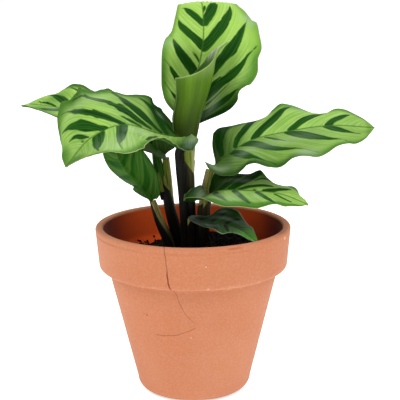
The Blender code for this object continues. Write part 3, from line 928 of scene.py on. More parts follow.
LEFT_LEAF = Leaf(
    node="left_leaf",
    form=BladeForm(
        midrib=((-3, -10.5, 145.5), (-18, -18.5, 150), (-36.5, -24, 156), (-53.5, -34, 150.5), (-66.5, -42, 136.5)),
        face=((-0.88, -0.31, 0.37), (0.28, -0.45, 0.85), (-0.78, -0.43, 0.45)),
        width=(28.5, 27), ends=(0.42, 0.45), fold=(12.5, 16.5), lobes=(8, -4),
        left=(-6, 6.5, 7.5, 3, 0, -1.5, 2.5, 2), right=(7.5, -1.5, -2, -5.5, -2, 10.5, -7, -20),
        frill=(((0, 0), (0.062, 0), (0.146, 0.5), (0.19, -2.6), (0.237, -4), (0.275, -3.2), (0.33, 1), (0.4, 5),
                (0.47, 3.5), (0.571, 0), (0.675, -1.2), (0.721, -2.5), (0.754, -4), (0.783, -3), (0.83, -1),
                (0.871, -0.2), (0.912, -1.5), (1, 0)),
               ((0, 0.6), (0.1, 2), (0.196, 1.2), (0.312, -0.2), (0.375, -0.6), (0.43, -2.5), (0.463, -0.5),
                (0.478, 3), (0.504, 1), (0.542, -1.2), (0.575, -1), (0.608, -0.4), (0.622, 1.4), (0.667, -0.8),
                (0.7, -1.6), (0.737, 1.4), (0.767, 0), (0.8, -0.8), (0.84, -2), (0.88, -1), (0.95, 0.4), (1, 0))),
        lift=(((0, 0), (0.09, 0), (0.13, -3), (0.165, -5), (0.19, -3.4), (0.215, -0.5), (0.24, 2), (0.265, 3.4),
               (0.3, 2.2), (0.36, 0), (1, 0)),
              LEVEL)),
    stripes={
        L: (((0.494, 0.05, 6.8), (0.53, 0.25, 7.4), (0.592, 0.45, 5.2), (0.64, 0.6, 1.4), (0.66, 0.8, 0.4)),
            ((0.66, 0.01, 5.2), (0.704, 0.14, 7), (0.746, 0.31, 5.6), (0.785, 0.48, 2.2), (0.8, 0.7, 0.4)),
            ((0.25, 0.3, 3), (0.31, 0.6, 4), (0.37, 0.85, 2))),
        R: (((0.158, 0.12, 4), (0.186, 0.35, 5.2), (0.22, 0.54, 6.2), (0.272, 0.66, 4.2), (0.329, 0.75, 2),
             (0.371, 0.86, 0.5)),
            ((0.2, 0.06, 2), (0.278, 0.22, 3.2), (0.357, 0.36, 4.8), (0.419, 0.56, 3.9), (0.458, 0.81, 1),
             (0.475, 0.9, 0.5)),
            ((0.283, 0.07, 1.4), (0.381, 0.18, 3.3), (0.458, 0.4, 3.5), (0.528, 0.64, 3), (0.619, 0.82, 1.3),
             (0.692, 0.92, 0.5)),
            ((0.35, 0.03, 1), (0.398, 0.07, 1.4), (0.442, 0.13, 1.5), (0.483, 0.22, 0.8)),
            ((0.473, 0, 2.4), (0.534, 0.15, 3.2), (0.591, 0.33, 4), (0.651, 0.5, 3.9), (0.706, 0.68, 2.2),
             (0.729, 0.76, 0.5), (0.758, 0.88, 0.5)),
            ((0.606, 0, 3), (0.658, 0.12, 4), (0.704, 0.27, 5.8), (0.748, 0.45, 4.6), (0.794, 0.63, 1.4),
             (0.821, 0.74, 0.5)),
            ((0.744, 0.05, 1), (0.772, 0.15, 2.8), (0.794, 0.28, 2.2), (0.842, 0.4, 0.5)))},
    lit=(0.9, 0.15),
    tone=(((0, 0), (0.12, -0.2), (0.24, -0.2), (0.36, -0.08), (0.7, -0.12), (0.82, -0.28), (1, -0.4)),
          ((0, -0.95), (0.12, -0.88), (0.24, -0.7), (0.36, -0.3), (0.6, 0.05), (0.8, -0.12), (1, -0.3))),
    patches={
        Wash.GREEN: ((L, 0.06, 0.5, 10, 14, 0.9), (L, 0.94, 0.5, 16, 20, 0.92), (R, 0.94, 0.5, 16, 20, 0.92)),
        Wash.SHADE: ((L, 0.04, 0.97, 5, 2.5, 0.6), (L, 0.145, 0.85, 8, 11, 1), (L, 0.85, 0.95, 12, 1.5, 0.35),
                     (R, 0.2, 0.95, 12, 3, 0.4), (R, 0.22, 0.85, 12, 8, 0.45), (R, 0.48, 0.97, 26, 2.5, 0.45),
                     (R, 0.53, 0.68, 0.7, 0.7, 0.9), (R, 0.66, 0.95, 9, 4, 0.4), (R, 0.793, 0.07, 0.7, 0.7, 0.9),
                     (R, 0.87, 0.9, 12, 3, 0.3)),
        Wash.PAINTED_SHEEN: ((L, 0.08, 0.75, 4, 4, 0.35), (L, 0.38, 0.25, 8, 5, 0.45), (L, 0.6, 0.6, 16, 7, 0.28),
                      (R, 0.17, 0.72, 3.5, 2, 0.3), (R, 0.6, 0.75, 10, 3, 0.25))})
FAR_LEFT_LEAF = Leaf(
    node="far_left_leaf",
    form=BladeForm(
        midrib=((-15, 8.5, 133.5), (-34, 9, 146.5), (-54.5, 19, 152.5), (-77, 25.5, 158), (-96.5, 41.5, 158)),
        face=((0.1, -0.47, 0.88), (0.04, -0.38, 0.92), (0, -0.48, 0.88)),
        width=(21.5, 26), ends=(0.3, 0.45), fold=(16, 11), lobes=(7, 9), left=(4.5, 1.5, 1, 0.5, 0.5, 1.5, 5, 4.5),
        right=(0.5, 0, -1.5, -4, -6, 0, -1, -6),
        frill=(((0, 0), (0.6, -1.5), (0.667, -3), (0.713, -4), (0.754, -4), (0.796, -2), (0.9, 0), (1, 0)),
               ((0, 0), (0.55, 0), (0.629, -1.2), (0.708, -1), (0.8, 1), (0.854, 0), (1, 0)))),
    stripes={
        L: (even_band(0.14, 0.3, 0.8, 4.5), even_band(0.32, 0.48, 0.8, 5), even_band(0.5, 0.66, 0.8, 5),
            even_band(0.68, 0.82, 0.6, 4)),
        R: (even_band(0.12, 0.28, 0.8, 4.5),
            even_band(0.28, 0.46, 0.8, 5),
            even_band(0.44, 0.62, 0.8, 5),
            ((0.62, 0.08, 2), (0.7, 0.22, 4.4), (0.77, 0.36, 4.6), (0.83, 0.5, 3.2), (0.885, 0.66, 1.2),
             (0.91, 0.78, 0.5)),
            ((0.756, 0.03, 0.8), (0.801, 0.08, 1.6), (0.846, 0.13, 2), (0.892, 0.15, 1.2), (0.93, 0.2, 0.5)),
            ((0.6, 0.62, 0.8), (0.68, 0.72, 1.3), (0.76, 0.84, 0.5)))},
    tone=(((0, -0.85), (0.15, -0.8), (0.3, -0.4), (0.5, -0.1), (0.8, -0.2), (1, 0)),
          ((0, -0.85), (0.15, -0.8), (0.3, -0.4), (0.5, -0.05), (0.8, -0.08), (1, 0))),
    patches={
        Wash.GREEN: ((L, 0.8, 0.5, 26, 20, 0.88), (R, 0.8, 0.4, 26, 20, 0.88)),
        Wash.PAINTED_SHEEN: ((L, 0.74, 0.2, 5, 3, 0.25), (L, 0.995, 0.5, 2.2, 3, 0.9), (R, 0.995, 0.5, 2.2, 3, 0.9)),
        Wash.SHADE: ((L, 0.72, 0.9, 14, 3, 0.5), (R, 0.75, 0.97, 20, 3, 0.55))})
DROOPING_LEAF = Leaf(
    node="drooping_leaf",
    form=BladeForm(
        midrib=((-22.5, 6, 108), (-30.5, 6, 118.5), (-39, 12, 127), (-44, 19, 137), (-46.5, 24, 148)),
        face=((0.4, 0.65, 0.5), (0.3, 0.8, 0.45), (0.3, 0.8, 0.4)),
        width=(18, 17.5), ends=(0.35, 0.55), fold=(12, 9), lobes=(3, -1), left=(-9.5, -5, -1, 0.5, 1, 2, 1, 0),
        right=(2.5, 3, 5, 3.5, 2, -0.5, -0.5, 0), rows=15),
    stripes=dict.fromkeys(Side, (even_band(0.14, 0.34, 0.8, 3.5), even_band(0.32, 0.52, 0.8, 4),
                                 even_band(0.5, 0.7, 0.8, 4), even_band(0.68, 0.84, 0.7, 3))),
    tone=(((0, -0.3), (0.3, -0.05), (1, -0.1)), ((0, -0.4), (0.3, -0.1), (1, -0.1))))
RIGHT_LEAF = Leaf(
    node="right_leaf",
    form=BladeForm(
        midrib=((11.5, 6, 127), (30.5, 2, 141.5), (52.5, -5, 148.5), (76, -10, 152.5), (100, -9.5, 151)),
        face=((0.34, -0.03, 0.32), (0.03, -0.59, 0.81), (0.1, -0.56, 0.82)),
        width=(22.5, 26), ends=(0.35, 0.65), fold=(12, -3), lobes=(0, 5),
        left=(3.5, -6, -9, -1.5, -6.5, -11, -1, -0.5), right=(1.5, 1, 1.5, -3, 1.5, -4.5, 3, -8),
        frill=(((0, 0), (0.067, -1.5), (0.104, 0.2), (0.138, 0.8), (0.196, -0.5), (0.321, 0), (0.467, 1),
                (0.554, 1.8), (0.64, 0.5), (1, 0)),
               ((0, 0.6), (0.02, 1.6), (0.058, -1.2), (0.096, -1), (0.142, -0.2), (0.204, -0.5), (0.287, -1),
                (0.35, -1.4), (0.417, 0), (0.487, 1.6), (0.546, 0), (0.6, -1.2), (0.7, 0), (1, 0)))),
    stripes={
        L: (((0.079, 0.19, 3.6), (0.091, 0.5, 4.6), (0.12, 0.74, 5), (0.155, 0.92, 3.6)),
            ((0.175, 0.08, 3), (0.206, 0.28, 4), (0.239, 0.44, 4.5), (0.264, 0.63, 4.6), (0.285, 0.82, 4.4)),
            ((0.3, 0.03, 5), (0.337, 0.22, 5.2), (0.383, 0.42, 6), (0.429, 0.62, 5.6), (0.473, 0.81, 2.6),
             (0.51, 0.93, 0.5)),
            ((0.519, 0.02, 4.4), (0.557, 0.18, 4.4), (0.595, 0.35, 5.2), (0.639, 0.49, 4.6), (0.685, 0.63, 2.4),
             (0.73, 0.78, 0.5)),
            ((0.735, 0.03, 4), (0.76, 0.22, 3.9), (0.792, 0.38, 3.6), (0.825, 0.55, 2.6), (0.86, 0.73, 0.8))),
        R: (((0.135, 0, 3.4), (0.186, 0.25, 4.8), (0.238, 0.47, 5), (0.297, 0.67, 3.8), (0.367, 0.8, 1.2),
             (0.417, 0.86, 0.5), (0.45, 0.92, 0.5)),
            ((0.223, 0, 4.2), (0.308, 0.21, 5), (0.396, 0.42, 4.2), (0.495, 0.56, 2.4), (0.596, 0.72, 0.6),
             (0.675, 0.86, 0.5)),
            ((0.362, 0.05, 0.7), (0.429, 0.18, 1.6), (0.496, 0.32, 0.4)),
            ((0.49, 0.02, 2.6), (0.566, 0.17, 5), (0.637, 0.31, 4.4), (0.709, 0.45, 2.9), (0.781, 0.64, 0.9),
             (0.83, 0.8, 0.5)),
            ((0.717, 0.01, 2.8), (0.761, 0.12, 3.8), (0.81, 0.24, 3.3), (0.858, 0.37, 1.3), (0.912, 0.5, 0.5)))},
    lit=(0.1, 0.3),
    tone=(((0, -0.95), (0.12, -0.8), (0.2, -0.45), (0.3, -0.14), (0.5, -0.06), (0.75, -0.05), (1, -0.2)),
          ((0, -0.75), (0.1, -0.8), (0.17, -0.62), (0.26, -0.44), (0.5, -0.36), (0.8, -0.16), (1, -0.2))),
    patches={
        Wash.GREEN: ((L, 0.97, 0.5, 9, 20, 0.86), (R, 0.97, 0.5, 9, 20, 0.86)),
        Wash.PAINTED_SHEEN: ((L, 0.6, 0.92, 8, 3, 0.3), (R, 0.05, 0.6, 6, 3, 0.42), (R, 0.25, 0.35, 10, 4, 0.25),
                      (R, 0.45, 0.3, 22, 4, 0.22), (R, 0.62, 0.85, 6, 3, 0.4)),
        Wash.SHADE: ((L, 0.25, 0.95, 14, 3, 0.3), (R, 0.3, 0.95, 14, 4, 0.5), (R, 0.5, 0.97, 16, 3, 0.35))})
LOWER_RIGHT_LEAF = Leaf(
    node="lower_right_leaf",
    form=BladeForm(
        midrib=((8.5, -3, 113), (16, -13.5, 117.5), (31.5, -17.5, 118), (48, -19.5, 116.5), (63, -24.5, 111.5)),
        face=((-0.05, -0.6, 0.8), (0, -0.43, 0.9), (0.17, -0.43, 0.89)),
        width=(17, 21.5), ends=(0.4, 0.65), fold=(13, 6), lobes=(1, 12),
        left=(9.5, -1, -4.5, -4, -0.5, -9, -4, -10), right=(4, 8, 2, 1, -1, 1, 0, 2),
        frill=(((0, 0), (0.071, 0.2), (0.171, -3), (0.383, -1.8), (0.529, 0.4), (0.633, -2.5), (0.7, 0),
                (0.804, 2), (0.9, 1), (1, 0)),
               ((0, 0.6), (0.05, 1.2), (0.1, 0.6), (0.188, 1), (0.25, -0.8), (0.292, 0.2), (0.392, -1.2),
                (0.521, -1.6), (0.629, -2.5), (0.746, -2.8), (0.867, 0.2), (1, 0))),
        lift=(LEVEL,
              ((0, 8.5), (0.025, 7.5), (0.05, 4.5), (0.08, -0.5), (0.12, -3.2), (0.16, -2.2), (0.24, 0), (1, 0)))),
    stripes={
        L: (((0.2, 0.05, 3), (0.27, 0.3, 3.4), (0.34, 0.55, 3), (0.4, 0.8, 1)),
            ((0.3, 0.03, 3.6), (0.36, 0.25, 4.2), (0.42, 0.48, 4.4), (0.48, 0.7, 4.6), (0.54, 0.88, 3.6)),
            ((0.367, 0.01, 1.4), (0.435, 0.13, 2), (0.506, 0.22, 1.9), (0.582, 0.29, 1.7), (0.658, 0.34, 0.8)),
            ((0.594, 0.02, 2.6), (0.67, 0.12, 2.8), (0.736, 0.3, 2.6), (0.8, 0.55, 0.8)),
            ((0.5, 0.5, 1), (0.58, 0.66, 1.6), (0.64, 0.84, 0.8))),
        R: (((0.177, 0.12, 2.6), (0.245, 0.36, 2.3), (0.312, 0.6, 1.4)),
            ((0.34, 0.06, 3), (0.396, 0.28, 3), (0.445, 0.48, 2.8), (0.49, 0.67, 1.6)),
            ((0.535, 0.08, 2.8), (0.598, 0.31, 2.9), (0.66, 0.52, 2.4), (0.71, 0.7, 1.4)),
            ((0.688, 0.1, 1.4), (0.772, 0.28, 1.3), (0.86, 0.42, 0.6)))},
    lit=(0, 0.9), inward=(1.2, 1.4),
    tone=(((0, -0.95), (0.25, -0.85), (0.4, -0.5), (0.55, -0.12), (1, 0.05)),
          ((0, -0.85), (0.12, -0.7), (0.2, -0.35), (0.3, -0.12), (1, 0))),
    patches={
        Wash.PAINTED_SHEEN: ((L, 0.34, 0.45, 9, 1.6, 0.35), (R, 0.05, 0.5, 5, 3, 0.4), (R, 0.24, 0.3, 3, 2, 0.4),
                      (R, 0.3, 0.45, 14, 5, 0.3), (R, 0.36, 0.25, 3, 3, 0.45), (R, 0.53, 0.3, 3, 3, 0.4)),
        Wash.SHADE: ((L, 0.42, 0.9, 14, 4, 0.45), (L, 0.51, 0.03, 0.9, 0.9, 0.9), (R, 0.45, 0.96, 26, 2.5, 0.4))})
SMALL_LEAF = Leaf(
    node="small_leaf",
    form=BladeForm(
        midrib=((-1.5, -12, 102.5), (6, -18.5, 101), (16.5, -22, 100.5), (26.5, -27, 98), (35, -33.5, 93)),
        face=((0.08, -0.55, 0.83), (0.09, -0.53, 0.84), (0.16, -0.46, 0.88)),
        width=(9.5, 9.5), ends=(0.5, 0.6), fold=(11, 9), lobes=(0, 0),
        left=(-5, -5.5, -2.5, 0.5, 0.5, -4, -3.5, -7.5), right=(3, 4.5, 3, 1.5, -0.5, 1.5, 2.5, 1.5), rows=15,
        columns=4, keel=1.4,
        frill=(((0, 0), (0.046, 0.8), (0.113, 2), (0.25, 0.5), (0.4, 1), (0.567, 1.5), (0.692, 0.8), (0.817, 0),
                (1, 0)),
               ((0, 0), (0.138, -0.8), (0.196, -1.8), (0.342, -1.8), (0.45, -0.5), (0.558, -0.2), (0.654, -1.8),
                (0.767, -2.4), (0.912, -1), (1, 0)))),
    stripes=dict.fromkeys(Side, (even_band(0.15, 0.32, 0.8, 2.4), even_band(0.32, 0.48, 0.8, 2.4),
                                 even_band(0.5, 0.64, 0.8, 2.2))),
    lit=(0.9, 0.8),
    tone=(((0, -0.85), (0.5, -0.6), (0.7, -0.25), (0.85, 0.3), (1, 0.8)),
          ((0, -0.85), (0.45, -0.45), (0.62, 0), (0.8, 0.6), (1, 0.9))),
    patches={
        Wash.PAINTED_SHEEN: ((L, 0.04, 0.5, 2.5, 3, 0.6), (L, 0.2, 0.7, 4, 1.8, 0.55), (L, 0.42, 0.8, 3, 1, 0.35),
                      (L, 0.5, 0.4, 8, 1.2, 0.4), (R, 0.04, 0.5, 2.5, 3, 0.5), (R, 0.2, 0.6, 3, 1.5, 0.4),
                      (R, 0.3, 0.35, 6, 1.2, 0.4))},
    finish=Tone.DEEP, rows=110, half_columns=20, puff=0.1, puff_step=2.6)
LEAVES = (TALL_LEAF, LEFT_LEAF, FAR_LEFT_LEAF, DROOPING_LEAF, RIGHT_LEAF, LOWER_RIGHT_LEAF, SMALL_LEAF)


@dataclass(frozen=True)
class RolledFinish:
    """The furled leaf: yellow-green outside with lengthwise bands, browner at its foot, with painted shade and
    sheen.
    """

    outer: Colour = tint(94, 131, 27)
    band: Colour = tint(56, 90, 16)
    pale: Colour = tint(122, 150, 46)
    foot: Colour = tint(40, 50, 14)
    inner: Colour = tint(30, 74, 14)
    bloom_and_sheen: Colour = tint(156, 180, 112)
    painted_sheen: Colour = tint(206, 216, 186)
    rough: float = 0.52
    gloss: float = 0.12
    line_step: float = 1.1
    streak_stretch: float = 0.035
    relief: tuple = (0.35, 0.0003)

    def material(self) -> Material:
        """Build the finish from the values across and up the roll."""
        tree = ShaderTree("rolled_leaf_finish")
        across, height, under = (tree.read(name) for name in ("across", "height", "under"))
        lined = tree.vector(across, height * self.streak_stretch)
        wide = tree.noise(lined, 0.16)
        fine = tree.noise(lined, 1.0, 3.0, 0.6)
        lines = tree.math("SINE", across * (2 * pi / self.line_step))
        # Low along the edge where the roll starts, and on the whole inner side, the darker inner green is partly the
        # inner side's own colour and partly painted shade.
        seam_shade = tree.ease(across, 3.4, 2.4) * tree.ease(height, 34.0, 24.0)
        # Painted sheen on the inner side near the top.
        sheen = tree.ease(height, 42.0, 54.0) * tree.ease(fine, 0.4, 0.62, 0.3, 0.9)
        colour = tree.paint(
            self.band,
            (tree.ease(wide, 0.3, 0.7, 0.25, 0.9), self.outer),
            (tree.ease(fine, 0.5, 0.8, 0.0, 0.2), self.pale),
            (tree.ease(lines, 0.5, 1.0, 0.0, 0.1), self.band),
            (tree.ease(height, 34.0, 48.0, 0.0, 0.45), self.bloom_and_sheen),
            (seam_shade * 0.7, self.inner),
            (tree.ease(height, 38.0, 0.0, 0.0, 0.9), self.foot),
            (tree.ease(tree.read("edge"), 0.9, 0.2, 0.0, 0.6), self.bloom_and_sheen),
            (under * 0.8, self.inner),
            (under * sheen, self.painted_sheen))
        relief = tree.bump(lines * 0.4 + fine * 0.7, *self.relief)
        return tree.finish(colour, self.rough, relief, {"Specular IOR Level": self.gloss})


@dataclass(frozen=True)
class RolledLeaf:
    """The new leaf, furled into an open cone, with the same values as the part's source."""

    node: str = "rolled_leaf"
    heights: tuple = (141.4, 144, 147, 155, 167, 178, 198)
    centre_x: tuple = (-3.5, -3.7, -3.8, -3.3, -0.3, 1.0, 4.5)
    centre_y: tuple = (1.2, 1.0, 1.0, 1.0, 1.2, 2.0, 3.0)
    radii: tuple = (3.0, 5.4, 6.4, 7.4, 8.2, 10.2, 9.8)
    rim_angles: tuple = (200, 235, 270, 305, 335, 355, 380, 400, 425, 450, 490, 530)
    rim_heights: tuple = (178, 179, 181, 184.5, 189, 193.5, 199.5, 192, 185, 179, 173, 167)
    tip_angle: float = 385
    tip_spread: float = 22.0
    tip_start: float = 186.0
    tip_rise: float = 12.0
    tip_sharpness: float = 2.2
    tip_reach: float = 9.5
    plain_rows: int = 11
    crowding: float = 1.25
    plain_columns: int = 22
    rows: int = 110
    columns: int = 150
    thickness: float = 0.4
    stand_off: float = 1.5
    edge_share: float = 0.4
    edge_taper: float = 1.5

    def plain_grid(self) -> Array:
        """Return the roll's outer side as the part's source draws it."""
        angles = np.linspace(self.rim_angles[0], self.rim_angles[-1], self.plain_columns)
        rim = np.interp(angles, self.rim_angles, self.rim_heights)
        share = (np.linspace(0, 1, self.plain_rows) ** self.crowding)[:, None]
        height = self.heights[0] + (rim[None] - self.heights[0]) * share
        near_tip = np.exp(-((angles - self.tip_angle) / self.tip_spread) ** 2)[None]
        raised = np.clip((height - self.tip_start) / self.tip_rise, 0, 1) ** self.tip_sharpness
        radius = np.interp(height, self.heights, self.radii) + self.tip_reach * near_tip * raised
        turn = np.radians(angles)[None]
        x = np.interp(height, self.heights, self.centre_x) + radius * np.cos(turn)
        y = np.interp(height, self.heights, self.centre_y) + radius * np.sin(turn)
        return np.stack([x, y, height], -1)

    def build(self, finish: Material) -> None:
        """Build the roll as one closed skin."""
        rows = spline(self.plain_grid(), np.linspace(0, 1, self.rows))
        outer = spline(rows.transpose(1, 0, 2), np.linspace(0, 1, self.columns)).transpose(1, 0, 2)
        normals = grid_normals(outer)
        outer = outer + normals * self.thickness * self.stand_off
        steps = np.linalg.norm(np.diff(outer, axis=1), axis=2)
        across = np.concatenate([np.zeros((self.rows, 1)), np.cumsum(steps, axis=1)], axis=1)
        middle = np.linspace(0, 1, self.columns)[None] * across[self.rows // 2, -1]
        edge = np.minimum(across, across[:, -1:] - across)
        edge = np.minimum(edge, outer[-1:, :, 2] - outer[..., 2])
        depth = self.thickness * np.clip(self.edge_share + edge / self.edge_taper, 0, 1)
        fields = {"across": np.repeat(middle, self.rows, 0), "height": outer[..., 2] - self.heights[0],
                  "edge": edge}
        mesh = closed_skin("rolled_leaf_blade", outer, outer - normals * depth[..., None], fields)
        piece("rolled_leaf_blade", mesh, finish, self.node)


@dataclass(frozen=True)
class StalkFinish:
    """Sheathed stalks: dark purple-green sheaths over yellow-green petioles, ribbed lengthwise, painted shade low
    down.
    """

    sheath: Colour = tint(13, 12, 9)
    sheath_green: Colour = tint(32, 42, 16)
    petiole: Colour = tint(154, 164, 58)
    petiole_green: Colour = tint(78, 104, 28)
    pale_edge: Colour = tint(124, 118, 72)
    dry: Colour = tint(70, 56, 26)
    cream: Colour = tint(196, 190, 122)
    leaf_green: Colour = tint(58, 112, 26)
    leaf_dark: Colour = tint(22, 66, 10)
    tan: Colour = tint(78, 70, 34)
    straw: Colour = tint(182, 156, 98)
    rough: float = 0.5
    gloss: float = 0.14
    lines: int = 22
    grain: tuple = (26.0, 45.0)
    relief: tuple = (0.4, 0.0003)

    def material(self) -> Material:
        """Build the finish from the values that the stalks' tree stores."""
        tree = ShaderTree("stalk_finish")
        turn, sheath = tree.read("turn"), tree.read("sheath")
        height = tree.axes(tree.place())[2]
        around, upward = self.grain
        lined = tree.vector(turn * around, height * upward, tree.read("rise"))
        fine = tree.noise(lined, 0.8, 3.0, 0.6)
        wide = tree.noise(lined, 0.2)
        lines = tree.math("SINE", turn * (2 * pi * self.lines))
        worn = tree.ease(sheath, 30.0, 0.0) * tree.read("tan") * tree.ease(fine, 0.35, 0.62, 0.25, 1.0)
        green = tree.paint(
            self.petiole_green,
            (tree.ease(fine, 0.32, 0.58), self.petiole),
            (tree.ease(wide, 0.54, 0.66, 0.0, 0.85), self.dry),
            (tree.ease(tree.read("side"), -0.35, -0.85, 0.0, 0.75), self.cream),
            (tree.read("leafy"), tree.mix(tree.ease(fine, 0.3, 0.65), self.leaf_dark, self.leaf_green)),
            (tree.read("dry"), tree.mix(tree.ease(fine, 0.36, 0.6), self.dry, self.straw)))
        dark = tree.paint(self.sheath, (tree.ease(wide, 0.45, 0.75), self.sheath_green), (worn, self.tan))
        colour = tree.paint(
            green,
            (tree.ease(sheath, -0.15, 0.15), dark),
            (tree.ease(abs(sheath), 0.55, 0.1, 0.0, 0.7), self.pale_edge),
            (tree.ease(lines, 0.4, 1.0, 0.0, 0.25), self.sheath),
            # Painted shade: the stalks go dark towards the soil, from just above the pot's rim down.
            (tree.ease(height, 0.1, 0.087, 0.0, 0.85), self.sheath))
        relief = tree.bump(lines * 0.5 + fine * 0.5, *self.relief)
        return tree.finish(colour, self.rough, relief, {"Specular IOR Level": self.gloss})


@dataclass(frozen=True)
class Shoot:
    """One round shoot of a clump.

    points: (x, y, z, radius) from its foot in the soil to its upper end.
    top:    the height where the sheath round it ends.
    slant:  how much higher the sheath's edge is on its high side.
    high:   the direction of that side, degrees round from +X.
    leafy:  how much of the leaf's own green is above the sheath.
    tan:    how worn and tan the sheath's upper part is.
    dry:    how dry and straw-coloured the petiole above the sheath is.
    """

    points: tuple
    top: float
    slant: float = 10.0
    high: float = 0.0
    leafy: float = 0.0
    tan: float = 0.0
    dry: float = 0.0


@dataclass(frozen=True)
class Stalks:
    """The clumps of shoots, each shoot a tube grown along its path."""

    clumps: dict[str, tuple]
    sides: int = 40
    steps: int = 90
    sheath_thickness: float = 0.28
    ridge: float = 0.07
    ridges: int = 11

    def tree(self, finish: Material) -> GrowthTree:
        """Build the tree that grows a tube along a path, with its sheath and fine ridges."""
        grow = GrowthTree("shoot", ("Sides",), (
            "Sheath Top", "Slant", "High Side", "Sheath Thickness", "Ridge", "Leafy", "Tan", "Dry"))
        given = grow.given
        ring = grow.add("GeometryNodeCurvePrimitiveCircle", {"Resolution": given["Sides"], "Radius": 1.0})
        ring = grow.store(ring, "turn", grow.add("GeometryNodeInputIndex") / given["Sides"])
        path = grow.add("GeometryNodeMeshToCurve", {0: given["Geometry"]})
        path = grow.store(path, "rise", grow.add("GeometryNodeSplineParameter", out="Factor"))
        tube = grow.add("GeometryNodeCurveToMesh", {
            "Curve": path, "Profile Curve": ring, "Scale": grow.read("girth"), "Fill Caps": True})
        height = grow.axes(grow.place())[2]
        east, north, _ = grow.axes(grow.add("GeometryNodeInputNormal"))
        side = grow.math("COSINE", grow.math("ARCTAN2", north, east) - given["High Side"])
        below = (given["Sheath Top"] + given["Slant"] * side - height) * PER_METRE
        for name, value in (("sheath", below), ("side", side), ("leafy", given["Leafy"]),
                            ("tan", given["Tan"]), ("dry", given["Dry"])):
            tube = grow.store(tube, name, value)
        step = grow.ease(grow.read("sheath"), -0.2, 0.35, 0.0, given["Sheath Thickness"])
        ribs = grow.math("SINE", grow.read("turn") * (2 * pi * self.ridges)) * given["Ridge"]
        grow.end(grow.swell(tube, step + ribs), finish)
        return grow

    def path_mesh(self, name: str, shoot: Shoot) -> Mesh:
        """Return a shoot's path as a line of points with its radius at each."""
        path = smooth_path(tuple(p[:3] for p in shoot.points), self.steps)
        girth = spline(np.asarray([p[3] for p in shoot.points]), np.linspace(0, 1, self.steps))
        mesh = bpy.data.meshes.new(name)
        mesh.from_pydata([tuple(p) for p in path * MM], [(i, i + 1) for i in range(self.steps - 1)], [])
        store_values(mesh, "girth", girth * MM)
        return mesh

    def build(self, finish: Material) -> None:
        """Grow every clump as one piece."""
        tree = self.tree(finish)
        for node, shoots in self.clumps.items():
            mesh = bpy.data.meshes.new(node + "_stalks")
            with opened(mesh) as work:
                for number, shoot in enumerate(shoots):
                    name = f"{node}_shoot_{number}"
                    work.from_mesh(tree.run(name, self.path_mesh(name, shoot), {
                        "Sides": self.sides, "Sheath Top": shoot.top * MM, "Slant": shoot.slant * MM,
                        "High Side": radians(shoot.high), "Sheath Thickness": self.sheath_thickness * MM,
                        "Ridge": self.ridge * MM, "Leafy": shoot.leafy, "Tan": shoot.tan,
                        "Dry": shoot.dry}))
                bmesh.ops.remove_doubles(work, verts=work.verts, dist=MERGE)
            piece(node + "_stalks", mesh, finish, node)


CLUMPS = {
    "main_stem": (
        Shoot(((-3.5, -2.5, 66.4, 2.6), (-3.9, -2.8, 87, 2.8), (-5.5, -3, 110, 2.4), (-6.8, -4.5, 130, 2.1),
               (-7.1, -6.6, 137, 2.4), (-5.4, -8.6, 141.0, 2.2)), top=150.0, slant=2.0),
        Shoot(((-0.5, 1.2, 66.4, 3.4), (-1.6, 1, 87, 3.6), (-2.5, 1.2, 110, 3.6), (-3.2, 1.4, 130, 3.8),
               (-3.5, 1.5, 140.4, 4.4)), top=130.0, slant=6.5, high=185.0, leafy=0.25, tan=0.75),
        Shoot(((-1.8, 2.2, 100, 1.6), (-1.2, 6.5, 122, 1.8), (-0.2, 10.8, 138, 1.8), (0.4, 11.6, 149.5, 1.6)),
              top=120.0)),
    "left_stem": (
        Shoot(((-4.5, 8.5, 66.4, 3), (-8.6, 8, 84, 3.3), (-12.7, 7, 101, 3.1), (-15.2, 6.4, 113, 2.8),
               (-17.0, 6.2, 121, 1.9), (-18.4, 6, 127, 0.5)), top=117.0, slant=4.0, high=180.0),
        Shoot(((-10.5, 7.4, 92, 1.8), (-13.2, 7.6, 108, 2.3), (-14.2, 8, 120, 2.4), (-15.1, 8.6, 131.7, 1.9)),
              top=104.0, slant=3.0, high=180.0),
        Shoot(((-16.6, 6.6, 108, 1.2), (-17.9, 6.8, 118, 2.4), (-19.4, 7.2, 127, 2.7), (-20.6, 7.8, 135, 2.4),
               (-21.8, 8.4, 142, 0.8)), top=116.0, slant=2.0, leafy=1.0),
        Shoot(((-17.0, 4.4, 113, 1.0), (-18.3, 3.9, 118, 1.1), (-19.2, 3.8, 124, 0.35)), top=100.0, slant=0.0)),
    "drooping_stem": (
        Shoot(((-9, 3, 66.4, 2.4), (-13.8, 3, 84, 2.8), (-18.5, 4, 95.5, 2.7), (-22.7, 5.8, 107.4, 1.7)),
              top=93.0, slant=18.0, high=188.0, dry=0.75),),
    "right_stem": (
        Shoot(((4.6, -4, 66.4, 2.7), (4.9, -3, 86, 3), (5.9, 0, 100, 3.3), (7.6, 3, 113, 3.2),
               (10.1, 6.1, 125, 2.7)), top=110.0, slant=4.0, high=25.0, tan=0.95, dry=0.35),
        Shoot(((5.9, -3.4, 84, 1.8), (7.4, -3.6, 98, 1.9), (7.9, -2.6, 110.8, 1.7)), top=108.0, slant=3.0, tan=1.0)),
    "small_stem": (
        Shoot(((0, -9.5, 66.4, 1.7), (-0.8, -10, 84, 1.7), (-1.5, -11.7, 100.7, 1.4)), top=100.0, slant=3.0),),
}


